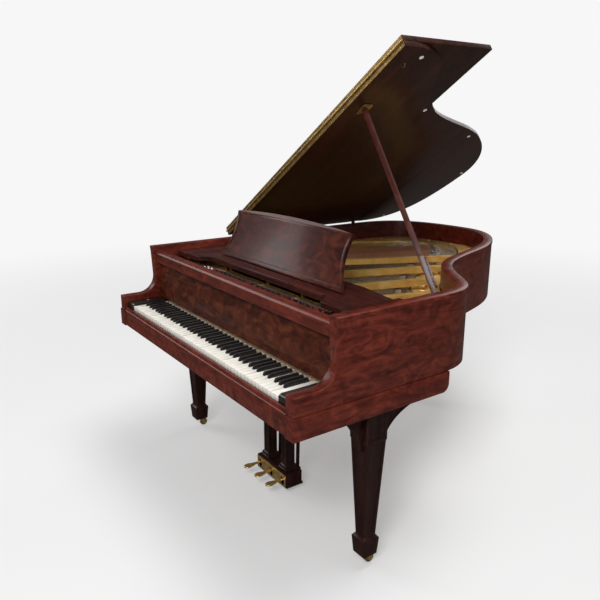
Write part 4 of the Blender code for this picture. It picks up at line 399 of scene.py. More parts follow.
def cylinder(radius, length, axis="Z", sides=24, centre=(0.0, 0.0, 0.0), top=None):
    work = bmesh.new()
    bmesh.ops.create_cone(work, cap_ends=True, segments=sides, radius1=radius,
                          radius2=radius if top is None else top, depth=length)
    mesh = to_mesh(work, "cylinder")
    if axis == "X":
        mesh.transform(Matrix.Rotation(math.pi / 2, 4, "Y"))
    if axis == "Y":
        mesh.transform(Matrix.Rotation(-math.pi / 2, 4, "X"))
    mesh.transform(Matrix.Translation(centre))
    return mesh


def loft(sections, sides=16):
    """Rings of (centre, half width, half height) across Y, closed at both ends."""
    work = bmesh.new()
    rings = []
    for centre, half_x, half_z in sections:
        ring = []
        for step in range(sides):
            angle = 2 * math.pi * step / sides
            ring.append(work.verts.new((centre[0] + half_x * math.cos(angle), centre[1],
                                        centre[2] + half_z * math.sin(angle))))
        rings.append(ring)
    for low, high in zip(rings, rings[1:]):
        for step in range(sides):
            after = (step + 1) % sides
            work.faces.new((low[step], low[after], high[after], high[step]))
    work.faces.new(list(reversed(rings[0])))
    work.faces.new(rings[-1])
    bmesh.ops.recalc_face_normals(work, faces=work.faces)
    return to_mesh(work, "loft")


def square_loft(sections, centre=(0.0, 0.0)):
    work = bmesh.new()
    rings = []
    for height, width in sections:
        half = width / 2
        rings.append([work.verts.new((centre[0] + x * half, centre[1] + y * half, height))
                      for x, y in ((-1, -1), (1, -1), (1, 1), (-1, 1))])
    work.faces.new(list(reversed(rings[0])))
    for low, high in zip(rings, rings[1:]):
        for side in range(4):
            after = (side + 1) % 4
            work.faces.new((low[side], low[after], high[after], high[side]))
    work.faces.new(rings[-1])
    return to_mesh(work, "column")


def turned(profile, steps=32):
    """A turned form from (radius, height) points, about Z."""
    work = bmesh.new()
    ring = [work.verts.new((radius, 0.0, height)) for radius, height in profile]
    edges = [work.edges.new(pair) for pair in zip(ring, ring[1:])]
    bmesh.ops.spin(work, geom=ring + edges, cent=(0, 0, 0), axis=(0, 0, 1), angle=2 * math.pi, steps=steps)
    bmesh.ops.remove_doubles(work, verts=work.verts, dist=0.00001)
    bmesh.ops.holes_fill(work, edges=[edge for edge in work.edges if edge.is_boundary])
    bmesh.ops.recalc_face_normals(work, faces=work.faces)
    return to_mesh(work, "turned")


def joined(meshes):
    work = bmesh.new()
    for mesh in meshes:
        work.from_mesh(mesh)
        bpy.data.meshes.remove(mesh)
    return to_mesh(work, "joined")


def boolean(mesh, other, operation):
    first = linked("first", mesh)
    second = linked("second", other)
    modifier = first.modifiers.new("joined", "BOOLEAN")
    modifier.operation = operation
    modifier.object = second
    modifier.solver = "EXACT"
    modifier.use_self = True
    graph = bpy.context.evaluated_depsgraph_get()
    result = bpy.data.meshes.new_from_object(first.evaluated_get(graph))
    bpy.data.objects.remove(first, do_unlink=True)
    bpy.data.objects.remove(second, do_unlink=True)
    return result


def union(mesh, *others):
    for other in others:
        mesh = boolean(mesh, other, "UNION")
    return mesh


def cut(mesh, *others):
    for other in others:
        mesh = boolean(mesh, other, "DIFFERENCE")
    return mesh


def piece(name, mesh, material, body, nodes=(), place=BASE, bevel=0.0, segments=2, limit=40.0,
          smooth=38.0):
    """Puts a finished mesh in place, rounds its edges and lets it ride on its body."""
    item = linked(name, mesh)
    if bevel:
        modifier = item.modifiers.new("edges", "BEVEL")
        modifier.width = bevel
        modifier.segments = segments
        modifier.limit_method = "ANGLE"
        modifier.angle_limit = math.radians(limit)
        graph = bpy.context.evaluated_depsgraph_get()
        rounded = bpy.data.meshes.new_from_object(item.evaluated_get(graph))
        item.modifiers.clear()
        item.data = rounded
    item.data.name = name
    item.data.materials.clear()
    item.data.materials.append(material)
    item.data.shade_smooth()
    item.data.set_sharp_from_angle(angle=math.radians(smooth))
    item.matrix_world = place
    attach(item, body)
    if nodes:
        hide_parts(*nodes)
    return item


def arc(centre, radius, start, end, steps):
    points = []
    for step in range(steps + 1):
        angle = math.radians(start + (end - start) * step / steps)
        points.append((centre[0] + radius * math.cos(angle), centre[1] + radius * math.sin(angle)))
    return points


# Plan of the case

RIM_KNOTS = (
    (HALF_WIDTH, 0.620, 0.00, 1.00, 0.100, 0.110),
    (0.630, 0.842, -0.80, 0.60, 0.085, 0.110),
    (0.352, 1.100, -0.44, 0.90, 0.150, 0.130),
    (0.222, 1.460, -0.38, 0.925, 0.120, 0.190),
    (-0.210, CASE_LENGTH, -1.00, 0.00, 0.190, 0.380),
    (-HALF_WIDTH, 1.480, 0.00, -1.00, 0.240, 0.100),
)


def bent_outline(steps):
    points = [(HALF_WIDTH, 0.0)]
    for first, second in zip(RIM_KNOTS, RIM_KNOTS[1:]):
        start = Vector(first[:2])
        end = Vector(second[:2])
        leave = start + Vector(first[2:4]).normalized() * first[5]
        arrive = end - Vector(second[2:4]).normalized() * second[4]
        for step in range(steps):
            t = step / steps
            place = (start * (1 - t) ** 3 + leave * 3 * t * (1 - t) ** 2
                     + arrive * 3 * t * t * (1 - t) + end * t ** 3)
            points.append((place.x, place.y))
    points.append((-HALF_WIDTH, RIM_KNOTS[-1][1]))
    points.append((-HALF_WIDTH, 0.0))
    return points


def inset(points, distance):
    moved = []
    for index, point in enumerate(points):
        before = Vector(points[max(index - 1, 0)])
        after = Vector(points[min(index + 1, len(points) - 1)])
        here = Vector(point)
        first = (here - before).normalized() if index > 0 else (after - here).normalized()
        last = (after - here).normalized() if index < len(points) - 1 else first
        normal = Vector((-(first.y + last.y), first.x + last.x)).normalized()
        stretch = 1.0 / max(normal.dot(Vector((-first.y, first.x))), 0.5)
        moved.append(tuple(here + normal * distance * stretch))
    return moved


def behind(points, y):
    kept = [point for point in points if point[1] > y]
    return [(kept[0][0], y)] + kept + [(kept[-1][0], y)]


def reach(outline, start, direction):
    """How far a line goes from start to the closed outline."""
    across = Vector((-direction[1], direction[0]))
    hits = []
    for first, second in zip(outline, outline[1:] + outline[:1]):
        side_first = (Vector(first) - start).dot(across)
        side_second = (Vector(second) - start).dot(across)
        if side_first * side_second < 0.0:
            place = Vector(first).lerp(Vector(second), side_first / (side_first - side_second))
            hits.append((place - start).dot(direction))
    return min(hit for hit in hits if hit > 0.0)


def along_path(path, share):
    lengths = [(Vector(b) - Vector(a)).length for a, b in zip(path, path[1:])]
    rest = share * sum(lengths)
    for (first, second), length in zip(zip(path, path[1:]), lengths):
        if rest <= length:
            return Vector(first).lerp(Vector(second), rest / length)
        rest -= length
    return Vector(path[-1])


OUTLINE = bent_outline(26)


def make_case():
    top = RIM_TOP_Z
    profile = [(0.0, RIM_BOTTOM_Z), (0.0, top - 0.0165), (0.0025, top - 0.0140), (0.0025, top - 0.0035),
               (0.0018, top - 0.0012), (0.0002, top), (-0.0405, top), (-0.0422, top - 0.0008),
               (-0.043, top - 0.0025), (-0.043, RIM_BOTTOM_Z)]
    mesh = swept(OUTLINE, profile)
    centre = (CHEEK_Y - CHEEK_RADIUS, ARM_TOP_Z + CHEEK_RADIUS)
    above = [(-0.05, ARM_TOP_Z)] + arc(centre, CHEEK_RADIUS, -90.0, 0.0, 28)
    above += [(CHEEK_TOP_Y, top + 0.05), (-0.05, top + 0.05)]
    mesh = cut(mesh, extruded([above], -0.8, 0.8, "YZ"))
    piece("case_rim", mesh, CASE_WOOD, "case", ["outer_rim"], bevel=0.0018, segments=3,
          limit=62.0)
    slab = box((-FIT_X - 0.004, 0.003, KEYBED_BOTTOM_Z), (FIT_X + 0.004, KEYBED_DEPTH, KEYBED_TOP_Z))
    rabbet = box((-FIT_X - 0.01, -0.01, KEY_SLIP_BOTTOM_Z - GAP), (FIT_X + 0.01, 0.0175, KEYBED_TOP_Z + 0.01))
    mesh = cut(slab, rabbet)
    band_top = RIM_BOTTOM_Z - GAP
    for side in (-1, 1):
        ends = sorted((side * (HALF_WIDTH + BAND_PROUD), side * FIT_X))
        outline = [(-BAND_PROUD, KEYBED_BOTTOM_Z), (-BAND_PROUD, band_top), (BAND_LENGTH, band_top)]
        outline += arc((BAND_LENGTH - 0.030, KEYBED_BOTTOM_Z + 0.030), 0.030, 0.0, -90.0, 10)
        mesh = union(mesh, extruded([outline], ends[0], ends[1], "YZ"))
    piece("keybed_wood", mesh, CASE_WOOD, "case", ["keybed"], bevel=0.0022, segments=3)
    slip = [(0.0, KEY_SLIP_BOTTOM_Z), (0.0, 0.6915), (0.0012, 0.6938), (0.0035, 0.6950), (0.004, 0.6958),
            (0.004, KEY_SLIP_TOP_Z - 0.004), (0.0052, KEY_SLIP_TOP_Z - 0.0013), (0.008, KEY_SLIP_TOP_Z),
            (0.0145, KEY_SLIP_TOP_Z), (0.0162, KEY_SLIP_TOP_Z - 0.0012), (0.0165, KEY_SLIP_BOTTOM_Z)]
    piece("key_slip_wood", extruded([slip], -FIT_X + GAP, FIT_X - GAP, "YZ"), CROSS_WOOD, "case",
          ["key_slip"])
    for side, name in ((-1, "bass"), (1, "treble")):
        ends = sorted((side * (KEYBOARD_HALF + 0.0035), side * (FIT_X - GAP)))
        outline = [(KEY_FRONT_Y, KEYBED_TOP_Z + GAP)]
        outline += arc((KEY_FRONT_Y + 0.012, KEY_BLOCK_TOP_Z - 0.012), 0.012, 180.0, 90.0, 10)
        outline += [(0.1685, KEY_BLOCK_TOP_Z), (0.1685, KEYBED_TOP_Z + GAP)]
        piece("block_" + name, extruded([outline], ends[0], ends[1], "YZ"), EBONY, "case",
              ["key_block_" + name], bevel=0.0015, segments=3)
        screw = turned([(0.0, 0.0), (0.006, 0.0), (0.006, 0.0012), (0.0045, 0.0022), (0.0, 0.0026)])
        screw.transform(Matrix.Translation((side * 0.652, 0.105, KEY_BLOCK_TOP_Z - 0.0002)))
        piece("block_screw_" + name, screw, BRASS, "case")
    y = STRETCHER_Y
    stretcher = [(y + 0.001, STRETCHER_BOTTOM_Z), (y, STRETCHER_BOTTOM_Z + 0.001), (y, 0.9385),
                 (y - 0.0018, 0.9400),
                 (y - 0.0024, 0.9430), (y - 0.0018, 0.9460), (y, 0.9475),
                 (y + 0.002, STRETCHER_TOP_Z - 0.0045),
                 (y + 0.0042, STRETCHER_TOP_Z - 0.0014), (y + 0.0068, STRETCHER_TOP_Z),
                 (y + 0.0385, STRETCHER_TOP_Z),
                 (y + 0.040, STRETCHER_TOP_Z - 0.0015), (y + 0.040, STRETCHER_BOTTOM_Z)]
    piece("stretcher_wood", extruded([stretcher], -FIT_X, FIT_X, "YZ"), CROSS_WOOD, "case",
          ["stretcher"])
    board = [(0.006, -0.019), (-0.009, -0.019), (-0.012, -0.016)] + arc((-0.003, 0.132), 0.009, 180.0, 0.0,
                                                                        14)
    mesh = union(extruded([board], -FIT_X + 0.0025, FIT_X - 0.0025, "YZ"),
                 cylinder(0.004, 2 * FIT_X - 4 * GAP, "X", 16))
    place = BASE @ Matrix.Translation(FALLBOARD_PIVOT) @ Matrix.Rotation(-FALLBOARD_LEAN, 4, "X")
    piece("fallboard_wood", mesh, FALL_WOOD, "fallboard_body", ["fallboard"], place)


# Plate, strings, bridges and dampers

def string_start(note):
    pitch = (STRING_SPAN - SECTION_GAP * len(SECTION_STARTS)) / (KEY_COUNT - 1)
    return -STRING_SPAN / 2 + pitch * note + SECTION_GAP * sum(1 for first in SECTION_STARTS if note >= first)


TREBLE_BRIDGE = ((0.598, 0.547), (0.520, 0.620), (0.400, 0.720), (0.270, 0.850), (0.140, 1.010),
                 (0.010, 1.190),
                 (-0.130, 1.360), (-0.290, 1.480), (-0.440, 1.530))
BASS_BRIDGE = ((-0.235, 1.600), (-0.145, 1.535), (-0.065, 1.455), (-0.005, 1.365))


def smoothed(path, times=3):
    """Cuts the corners of an open path and keeps its ends."""
    points = [Vector(point) for point in path]
    for _ in range(times):
        cut_points = [points[0]]
        for first, second in zip(points, points[1:]):
            cut_points += [first.lerp(second, 0.25), first.lerp(second, 0.75)]
        points = cut_points + [points[-1]]
    return [tuple(point) for point in points]


PLATE_INNER = inset(bent_outline(10), RIM_THICKNESS + 0.122)


def string_line(note):
    """Agraffe, bridge and hitch points of a note, flat."""
    start = Vector((string_start(note), AGRAFFE_Y))
    if note < BASS_NOTES:
        meet = along_path(BASS_BRIDGE, 0.04 + 0.92 * note / (BASS_NOTES - 1))
    else:
        share = 1.0 - (note - BASS_NOTES) / (KEY_COUNT - 1 - BASS_NOTES)
        meet = along_path(TREBLE_BRIDGE, 0.015 + 0.97 * share ** 1.35)
    heading = (meet - start).normalized()
    beyond = min(max(reach(PLATE_INNER, meet, heading), 0.035), 0.16)
    return start, meet, meet + heading * beyond, heading


def string_x_at(note, y):
    start, meet = string_line(note)[:2]
    return start.x + (meet.x - start.x) * (y - start.y) / (meet.y - start.y)


def strut_line(index):
    first = SECTION_STARTS[index]
    start = Vector(((string_start(first - 1) + string_start(first)) / 2, PLATE_WEB_BACK_Y - 0.012))
    heading = (Vector(STRUT_TARGETS[index]) - start).normalized()
    return start, heading, reach(inset(OUTLINE, RIM_THICKNESS + 0.045), start, heading)


def make_strut(index):
    """A raised bar, slim between the strings and broad behind them, sloping into the plate."""
    start, heading, span = strut_line(index)
    low = PLATE_TOP_Z - 0.004
    side = [(0.0, low), (0.012, low), (0.013, 0.9035), (0.018, 0.905), (span - 0.014, 0.905),
            (span - 0.012, 0.9035),
            (span - 0.012, low), (span + 0.012, low), (span + 0.009, 0.912), (span - 0.002, 0.925),
            (span - 0.020, 0.930),
            (0.020, 0.930), (0.008, 0.9285), (0.002, 0.924)]
    mesh = extruded([side], -0.009, 0.009, "YZ")
    work = bmesh.new()
    work.from_mesh(mesh)
    for y in (0.040, 0.085, span - 0.10, span - 0.05):
        bmesh.ops.bisect_plane(work, geom=work.verts[:] + work.edges[:] + work.faces[:],
                               plane_co=(0.0, y, 0.0),
                               plane_no=(0.0, 1.0, 0.0))
    for vertex in work.verts:
        y = vertex.co.y
        if 0.05 < y < span + 0.1:
            vertex.co.x *= 1.75
    work.to_mesh(mesh)
    work.free()
    turn = Matrix.Rotation(math.atan2(-heading.x, heading.y), 4, "Z")
    mesh.transform(Matrix.Translation((start.x, start.y, 0.0)) @ turn)
    return mesh


def plate_hole_places():
    line = [point for point in inset(OUTLINE, RIM_THICKNESS + 0.077)
            if point[0] > -0.05 and 0.70 < point[1] < 1.60]
    return [tuple(along_path(line, share)) for share in (0.06, 0.20, 0.34, 0.50, 0.66, 0.82)]


def make_plate():
    edge = behind(inset(OUTLINE, RIM_THICKNESS + 0.003), PLATE_FRONT_Y)
    inner = [point for point in inset(OUTLINE, RIM_THICKNESS + 0.140) if point[0] > -0.50 and point[1] > 0.63]
    opening = [(INNER_X - 0.027, PLATE_WEB_BACK_Y), (INNER_X - 0.027, 0.560)] + inner
    opening += [(-INNER_X + 0.050, 1.380), (-INNER_X + 0.050, PLATE_WEB_BACK_Y)]
    holes = [arc(place, 0.027, 0.0, 350.0, 35) for place in plate_hole_places()]
    mesh = extruded([edge, opening] + holes, PLATE_BOTTOM_Z, PLATE_TOP_Z)
    piece("plate_casting", mesh, GOLD, "case", ["iron_plate"], bevel=0.003, segments=3,
          limit=60.0)
    ridge = [(AGRAFFE_Y - 0.011, PLATE_TOP_Z - 0.001), (AGRAFFE_Y - 0.007, 0.8925),
             (AGRAFFE_Y - 0.003, 0.8942),
             (AGRAFFE_Y + 0.003, 0.8942), (AGRAFFE_Y + 0.007, 0.8925),
             (AGRAFFE_Y + 0.011, PLATE_TOP_Z - 0.001)]
    forms = [extruded([ridge], -INNER_X + 0.012, INNER_X - 0.012, "YZ")]
    for place in plate_hole_places():
        ring = turned([(0.0262, -0.002), (0.0262, 0.0035), (0.0285, 0.0058), (0.033, 0.0062),
                       (0.0375, 0.0040),
                       (0.041, 0.0008), (0.042, -0.002), (0.0262, -0.002)], 48)
        ring.transform(Matrix.Translation((place[0], place[1], PLATE_TOP_Z)))
        forms.append(ring)
    piece("plate_ridge_and_rims", joined(forms), GOLD, "case")
    struts = joined([make_strut(index) for index in range(len(SECTION_STARTS))])
    piece("plate_struts", struts, GOLD, "case", bevel=0.0032, segments=3, limit=35.0)
    bolts = []
    rail = behind(inset(OUTLINE, RIM_THICKNESS + 0.026), 0.45)
    for step in range(22):
        place = along_path(rail, 0.02 + 0.96 * step / 21)
        bolt = turned([(0.0, 0.0), (0.0095, 0.0), (0.0095, 0.002), (0.007, 0.0055), (0.0, 0.0068)], 20)
        bolt.transform(Matrix.Translation((place.x, place.y, PLATE_TOP_Z - 0.0002)))
        bolts.append(bolt)
    piece("plate_bolts", joined(bolts), OLD_BRASS, "case")
    felt = [(0.341, PLATE_TOP_Z), (0.341, 0.8935), (0.345, 0.8955), (0.364, 0.8955), (0.368, 0.8935),
            (0.368, PLATE_TOP_Z)]
    strips = []
    edges = [-INNER_X + 0.02] + [strut_line(i)[0].x for i in range(4)] + [INNER_X - 0.02]
    for first, last in zip(edges, edges[1:]):
        strips.append(extruded([felt], first + 0.008, last - 0.008, "YZ"))
    piece("string_felt", joined(strips), RED_FELT, "case", bevel=0.0008)


def make_strings():
    steel = []
    copper = []
    pins = []
    agraffes = []
    hitches = []
    for note in range(KEY_COUNT):
        start, meet, end, heading = string_line(note)
        bass = note < BASS_NOTES
        level = BASS_STRING_Z if bass else TREBLE_STRING_Z
        count = 1 if note < 9 else 2 if bass else 3
        spread = 0.0048 if bass else 0.0026
        across = Vector((heading.y, -heading.x))
        for index in range(count):
            shift = spread * (index - (count - 1) / 2)
            pin_y = 0.250 + 0.026 * ((note + index) % 3)
            pin_x = start.x + shift * 1.2
            bend = meet + across * shift * (1.0 if bass else 0.8)
            tail = end + across * shift
            path = [(pin_x + 0.0033, pin_y, level), (start.x + shift, start.y, level),
                    (bend.x, bend.y, level),
                    (tail.x, tail.y, level - 0.006)]
            if bass:
                wound = [Vector(path[1]).lerp(Vector(path[2]), 0.03),
                         Vector(path[2]).lerp(Vector(path[1]), 0.04)]
                copper.append([tuple(point) for point in wound])
            steel.append(path)
            pins.append((pin_x, pin_y, level))
            hitches.append((tail.x, tail.y, level - 0.006))
        agraffes.append((start.x, start.y, level))
    piece("plain_wires", tubes(steel, 0.00055, 0), STEEL, "case")
    piece("copper_windings", tubes(copper, 0.0017, 1), COPPER, "case")
    bodies = []
    coils = []
    for x, y, level in pins:
        bodies.append(cylinder(0.0034, 0.920 - PLATE_TOP_Z, "Z", 10, (x, y, (0.920 + PLATE_TOP_Z) / 2),
                               0.0029))
        coils.append(cylinder(0.0046, 0.0042, "Z", 12, (x, y, level - 0.0004)))
    piece("tuning_pins", joined(bodies), PIN_STEEL, "case")
    piece("string_coils", joined(coils), STEEL, "case")
    studs = [cylinder(0.0042, level + 0.003 - PLATE_TOP_Z, "Z", 8, (x, y, (level + 0.003 + PLATE_TOP_Z) / 2),
                      0.0034)
             for x, y, level in agraffes]
    piece("agraffes", joined(studs), BRASS, "case", bevel=0.0005, segments=1)
    posts = [cylinder(0.0018, level + 0.004 - PLATE_TOP_Z, "Z", 8, (x, y, (level + 0.004 + PLATE_TOP_Z) / 2))
             for x, y, level in hitches]
    piece("hitch_pins", joined(posts), STEEL, "case")
    for name, path, level, node in (("treble", TREBLE_BRIDGE, TREBLE_STRING_Z, "treble_bridge"),
                                    ("bass", BASS_BRIDGE, BASS_STRING_Z, "bass_bridge")):
        top = level - 0.0004
        profile = [(-0.015, SOUNDBOARD_TOP_Z + GAP), (-0.0150, top - 0.006), (-0.0105, top), (0.0105, top),
                   (0.0150, top - 0.006), (0.015, SOUNDBOARD_TOP_Z + GAP)]
        piece(name + "_bridge_wood", swept(smoothed(path), profile), BEECH, "case", [node],
              bevel=0.0008)


def clear_of_struts(x, y, clear):
    for index in range(len(SECTION_STARTS)):
        start, heading, span = strut_line(index)
        slope = heading.x / heading.y
        if abs(start.x + slope * (y - start.y) - x) < 0.0158 / heading.y + abs(slope) * 0.022 + clear:
            return False
    return True


def make_dampers():
    heads = []
    felts = []
    wires = []
    last = -1.0
    for note in range(66):
        x = string_x_at(note, DAMPER_Y)
        if not clear_of_struts(x, DAMPER_Y, 0.0062) or x - last < 0.0122:
            continue
        last = x
        bass = note < BASS_NOTES
        bottom = (BASS_STRING_Z + 0.0018 if bass else TREBLE_STRING_Z + 0.0008) + GAP
        felts.append(box((x - 0.0050, DAMPER_Y - 0.021, bottom),
                         (x + 0.0050, DAMPER_Y - 0.003, bottom + 0.0040), (0.9, 1.0)))
        felts.append(box((x - 0.0050, DAMPER_Y + 0.003, bottom),
                         (x + 0.0050, DAMPER_Y + 0.021, bottom + 0.0040), (0.9, 1.0)))
        heads.append(box((x - 0.0050, DAMPER_Y - 0.0215, bottom + 0.0040),
                         (x + 0.0050, DAMPER_Y + 0.0215, bottom + 0.0095),
                         (0.86, 0.94)))
        wires.append([(x + 0.0045, DAMPER_Y, 0.785), (x + 0.0045, DAMPER_Y, bottom + 0.006)])
    body = "damper_body"
    piece("damper_heads", joined(heads), EBONY, body, ["damper_set"], bevel=0.0009, segments=2)
    piece("damper_felts", joined(felts), WHITE_FELT, body, bevel=0.0006, segments=1)
    piece("damper_wires", tubes(wires, 0.0008, 1), BRASS, body)
    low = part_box("damper_set")[0]
    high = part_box("damper_set")[1]
    tray = box((low.x, DAMPER_Y - 0.012, 0.777), (high.x, DAMPER_Y + 0.012, 0.793))
    piece("damper_tray", tray, BEECH, body, bevel=0.0015)


# Keyboard and action

def pitch_class(note):
    return (note + 9) % 12


def is_sharp(note):
    return pitch_class(note) in SHARP_OFFSETS


def white_index(note):
    return sum(1 for lower in range(note) if not is_sharp(lower))


def sharp_centre(note):
    return -KEYBOARD_HALF + WHITE_PITCH * white_index(note) + SHARP_OFFSETS[pitch_class(note)]


def white_outline(note, trim=0.0):
    left = -KEYBOARD_HALF + WHITE_PITCH * white_index(note) + 0.0005 + trim
    right = left + WHITE_PITCH - 0.001 - 2 * trim
    tail_left = left
    tail_right = right
    if note > 0 and is_sharp(note - 1):
        tail_left = sharp_centre(note - 1) + 0.00775 + trim
    if note < KEY_COUNT - 1 and is_sharp(note + 1):
        tail_right = sharp_centre(note + 1) - 0.00775 - trim
    front = KEY_FRONT_Y + trim
    points = [(left, front), (right, front)]
    if tail_right < right:
        points += [(right, KEY_HEAD_Y), (tail_right, KEY_HEAD_Y)]
    points += [(tail_right, KEY_BACK_Y), (tail_left, KEY_BACK_Y)]
    if tail_left > left:
        points += [(tail_left, KEY_HEAD_Y), (left, KEY_HEAD_Y)]
    return points


def white_top(note, drop):
    """The ivory: a thin plate with a small overhang and a front below it."""
    outline = [(x, min(y, 0.185)) for x, y in white_outline(note)]
    top = extruded([outline], KEY_TOP_Z - 0.0024 - drop, KEY_TOP_Z - drop)
    xs = [point[0] for point in outline]
    front = box((min(xs) + 0.0004, KEY_FRONT_Y + 0.0012, KEY_BOTTOM_Z + 0.001 - drop),
                (max(xs) - 0.0004, KEY_FRONT_Y + 0.0032, KEY_TOP_Z - 0.0022 - drop))
    return [top, front]


def white_stick(note, drop):
    outline = [(x, max(y, KEY_FRONT_Y + 0.003)) for x, y in white_outline(note, 0.0004)]
    return extruded([outline], KEY_BOTTOM_Z - drop, KEY_TOP_Z - 0.0022 - drop)


def sharp_parts(note, drop):
    x = sharp_centre(note)
    front = KEY_HEAD_Y + 0.0015
    top = KEY_TOP_Z + 0.012 - drop
    low = KEY_TOP_Z - 0.002 - drop
    outline = [(front, low), (front + 0.0005, top - 0.009), (front + 0.0035, top - 0.0028),
               (front + 0.0075, top - 0.0004),
               (front + 0.014, top), (front + 0.094, top), (front + 0.095, low)]
    cap = extruded([outline], x - 0.0062, x + 0.0062, "YZ")
    for vertex in cap.vertices:
        if vertex.co.z > top - 0.0095:
            vertex.co.x = x + (vertex.co.x - x) * 0.79
    stick = extruded([[(x - 0.0066, front), (x + 0.0066, front), (x + 0.0066, KEY_BACK_Y),
                       (x - 0.0066, KEY_BACK_Y)]],
                     KEY_BOTTOM_Z - drop, KEY_TOP_Z - 0.0015 - drop)
    return cap, stick


def make_keyboard():
    free = range(FIRST_FREE_KEY, FIRST_FREE_KEY + len(FREE_KEYS))
    tops = []
    sticks = []
    caps = []
    for note in range(KEY_COUNT):
        if note in free:
            continue
        if is_sharp(note):
            cap, stick = sharp_parts(note, 0.0)
            caps.append(cap)
            sticks.append(stick)
        else:
            tops += white_top(note, 0.0)
            sticks.append(white_stick(note, 0.0))
    body = "keyboard_body"
    piece("ivory_tops", joined(tops), IVORY, body, ["key_frame"], bevel=0.0007, segments=2)
    piece("ebony_sharps", joined(caps), EBONY, body, bevel=0.0012, segments=3, limit=30.0)
    half = KEYBOARD_HALF - 0.002
    for low, high, top in ((0.0385, 0.0635, 0.694), (0.223, 0.243, 0.7031), (0.3685, 0.4325, 0.694)):
        sticks.append(box((-half, low, KEYBED_TOP_Z + GAP), (half, high, top)))
    piece("key_sticks", joined(sticks), KEY_WOOD, body, bevel=0.0006, segments=1)
    for step, name in enumerate(FREE_KEYS):
        note = FIRST_FREE_KEY + step
        body = "key_%s_body" % name
        if is_sharp(note):
            cap, stick = sharp_parts(note, 0.0)
            piece("sharp_" + name, cap, EBONY, body, ["key_" + name], bevel=0.0012, segments=3,
                  limit=30.0)
        else:
            piece("ivory_" + name, joined(white_top(note, 0.0)), IVORY, body, ["key_" + name],
                  bevel=0.0007)
            stick = white_stick(note, 0.0)
        piece("stick_" + name, stick, KEY_WOOD, body, bevel=0.0006, segments=1)


def make_action():
    felts = []
    shanks = []
    for note in range(KEY_COUNT):
        x = string_start(note)
        if abs(x) > 0.600:
            continue
        head = [(0.4220, 0.826), (0.4205, 0.838), (0.4235, 0.848), (0.4280, 0.852), (0.4325, 0.848),
                (0.4355, 0.838),
                (0.4340, 0.826), (0.4310, 0.818), (0.4250, 0.818)]
        felts.append(extruded([head], x - 0.0048, x + 0.0048, "YZ"))
        shanks.append(box((x - 0.0036, 0.425, 0.806), (x + 0.0036, 0.431, 0.824)))
        shanks.append(extruded([[(0.330, 0.797), (0.434, 0.806), (0.434, 0.812), (0.330, 0.803)]],
                               x - 0.0028, x + 0.0028, "YZ"))
    body = "keyboard_body"
    piece("hammer_felts", joined(felts), WHITE_FELT, body, ["action_stack"], bevel=0.0012,
          segments=2)
    half = KEYBOARD_HALF - 0.004
    shanks.append(box((-half, 0.316, 0.790), (half, 0.344, 0.810)))
    piece("hammer_shanks", joined(shanks), BEECH, body, bevel=0.0006, segments=1)
    brackets = []
    for index in range(4):
        x = -half * 0.97 + 2 * half * 0.97 * index / 3
        outline = [(0.4045, 0.6943), (0.4245, 0.6943), (0.4205, 0.770), (0.3885, 0.800), (0.335, 0.806),
                   (0.320, 0.796), (0.330, 0.786), (0.3945, 0.760)]
        brackets.append(extruded([outline], x - 0.006, x + 0.006, "YZ"))
    piece("action_brackets", joined(brackets), OLD_BRASS, body, bevel=0.0015)


# Legs, casters and lyre

def leg_cutters(top_z, block_bottom):
    cutters = []
    border = 0.011
    depth = 0.003
    for quarter in range(4):
        turn = Matrix.Rotation(quarter * math.pi / 2, 4, "Z")
        panel = box((-0.045 + border, 0.045 - depth, block_bottom + border),
                    (0.045 - border, 0.065, top_z - border))
        panel.transform(turn)
        cutters.append(panel)
        low_z = 0.128 + border
        high_z = block_bottom - border
        outline = [(-0.025 + border, low_z), (0.025 - border, low_z), (0.043 - border, high_z),
                   (-0.043 + border, high_z)]
        long_panel = extruded([outline], -0.03, 0.0, "XZ")
        slope = 0.018 / (block_bottom - 0.128)
        for vertex in long_panel.vertices:
            inner = 0.025 + slope * (vertex.co.z - 0.128) - depth
            vertex.co.y = inner if vertex.co.y < 0.015 else inner + 0.03
        long_panel.transform(turn)
        cutters.append(long_panel)
    return joined(cutters)


def bracket_outline(direction, length, top_z, height=0.150):
    outline = [(0.0, top_z), (length, top_z), (length, top_z - 0.016)]
    centre = (length * 1.02, top_z - height * 1.02)
    for step in range(1, 20):
        angle = math.radians(90.0 + 90.0 * step / 20)
        outline.append((centre[0] + (length - 0.006) * math.cos(angle),
                        centre[1] + (height * 1.02 - 0.016) * math.sin(angle)))
    outline.append((0.0, top_z - height))
    return [(direction * (0.041 + along), up) for along, up in outline]


def make_leg(name, x, y, top_z, node, brackets):
    block_bottom = top_z - 0.114
    sections = ((0.0473, 0.0575), (0.0485, 0.060), (0.112, 0.070), (0.1165, 0.0685), (0.118, 0.064),
                (0.128, 0.050),
                (block_bottom - 0.006, 0.0855), (block_bottom - 0.004, 0.0865), (block_bottom, 0.090),
                (top_z - GAP, 0.090))
    mesh = cut(square_loft(sections), leg_cutters(top_z, block_bottom))
    place = BASE @ Matrix.Translation((x, y, 0.0))
    piece(name, mesh, SHADED_LEG_WOOD, "case", [node], place, bevel=0.0014, segments=2, limit=25.0)
    forms = []
    for direction, length in brackets:
        outline = bracket_outline(direction, length, top_z - GAP)
        form = extruded([outline], -0.020, 0.020, "YZ")
        small = []
        for along, up in outline:
            toward = direction * (0.041 + 0.014)
            small.append((toward + (along - direction * 0.041) * 0.70, top_z - 0.012 + (up - top_z) * 0.74))
        for side in (-1, 1):
            ends = sorted((side * 0.018, side * 0.030))
            form = cut(form, extruded([small], ends[0], ends[1], "YZ"))
        forms.append(form)
    if forms:
        piece(name + "_brackets", joined(forms), SHADED_LEG_WOOD, "case", (), place, bevel=0.0014,
              limit=45.0)


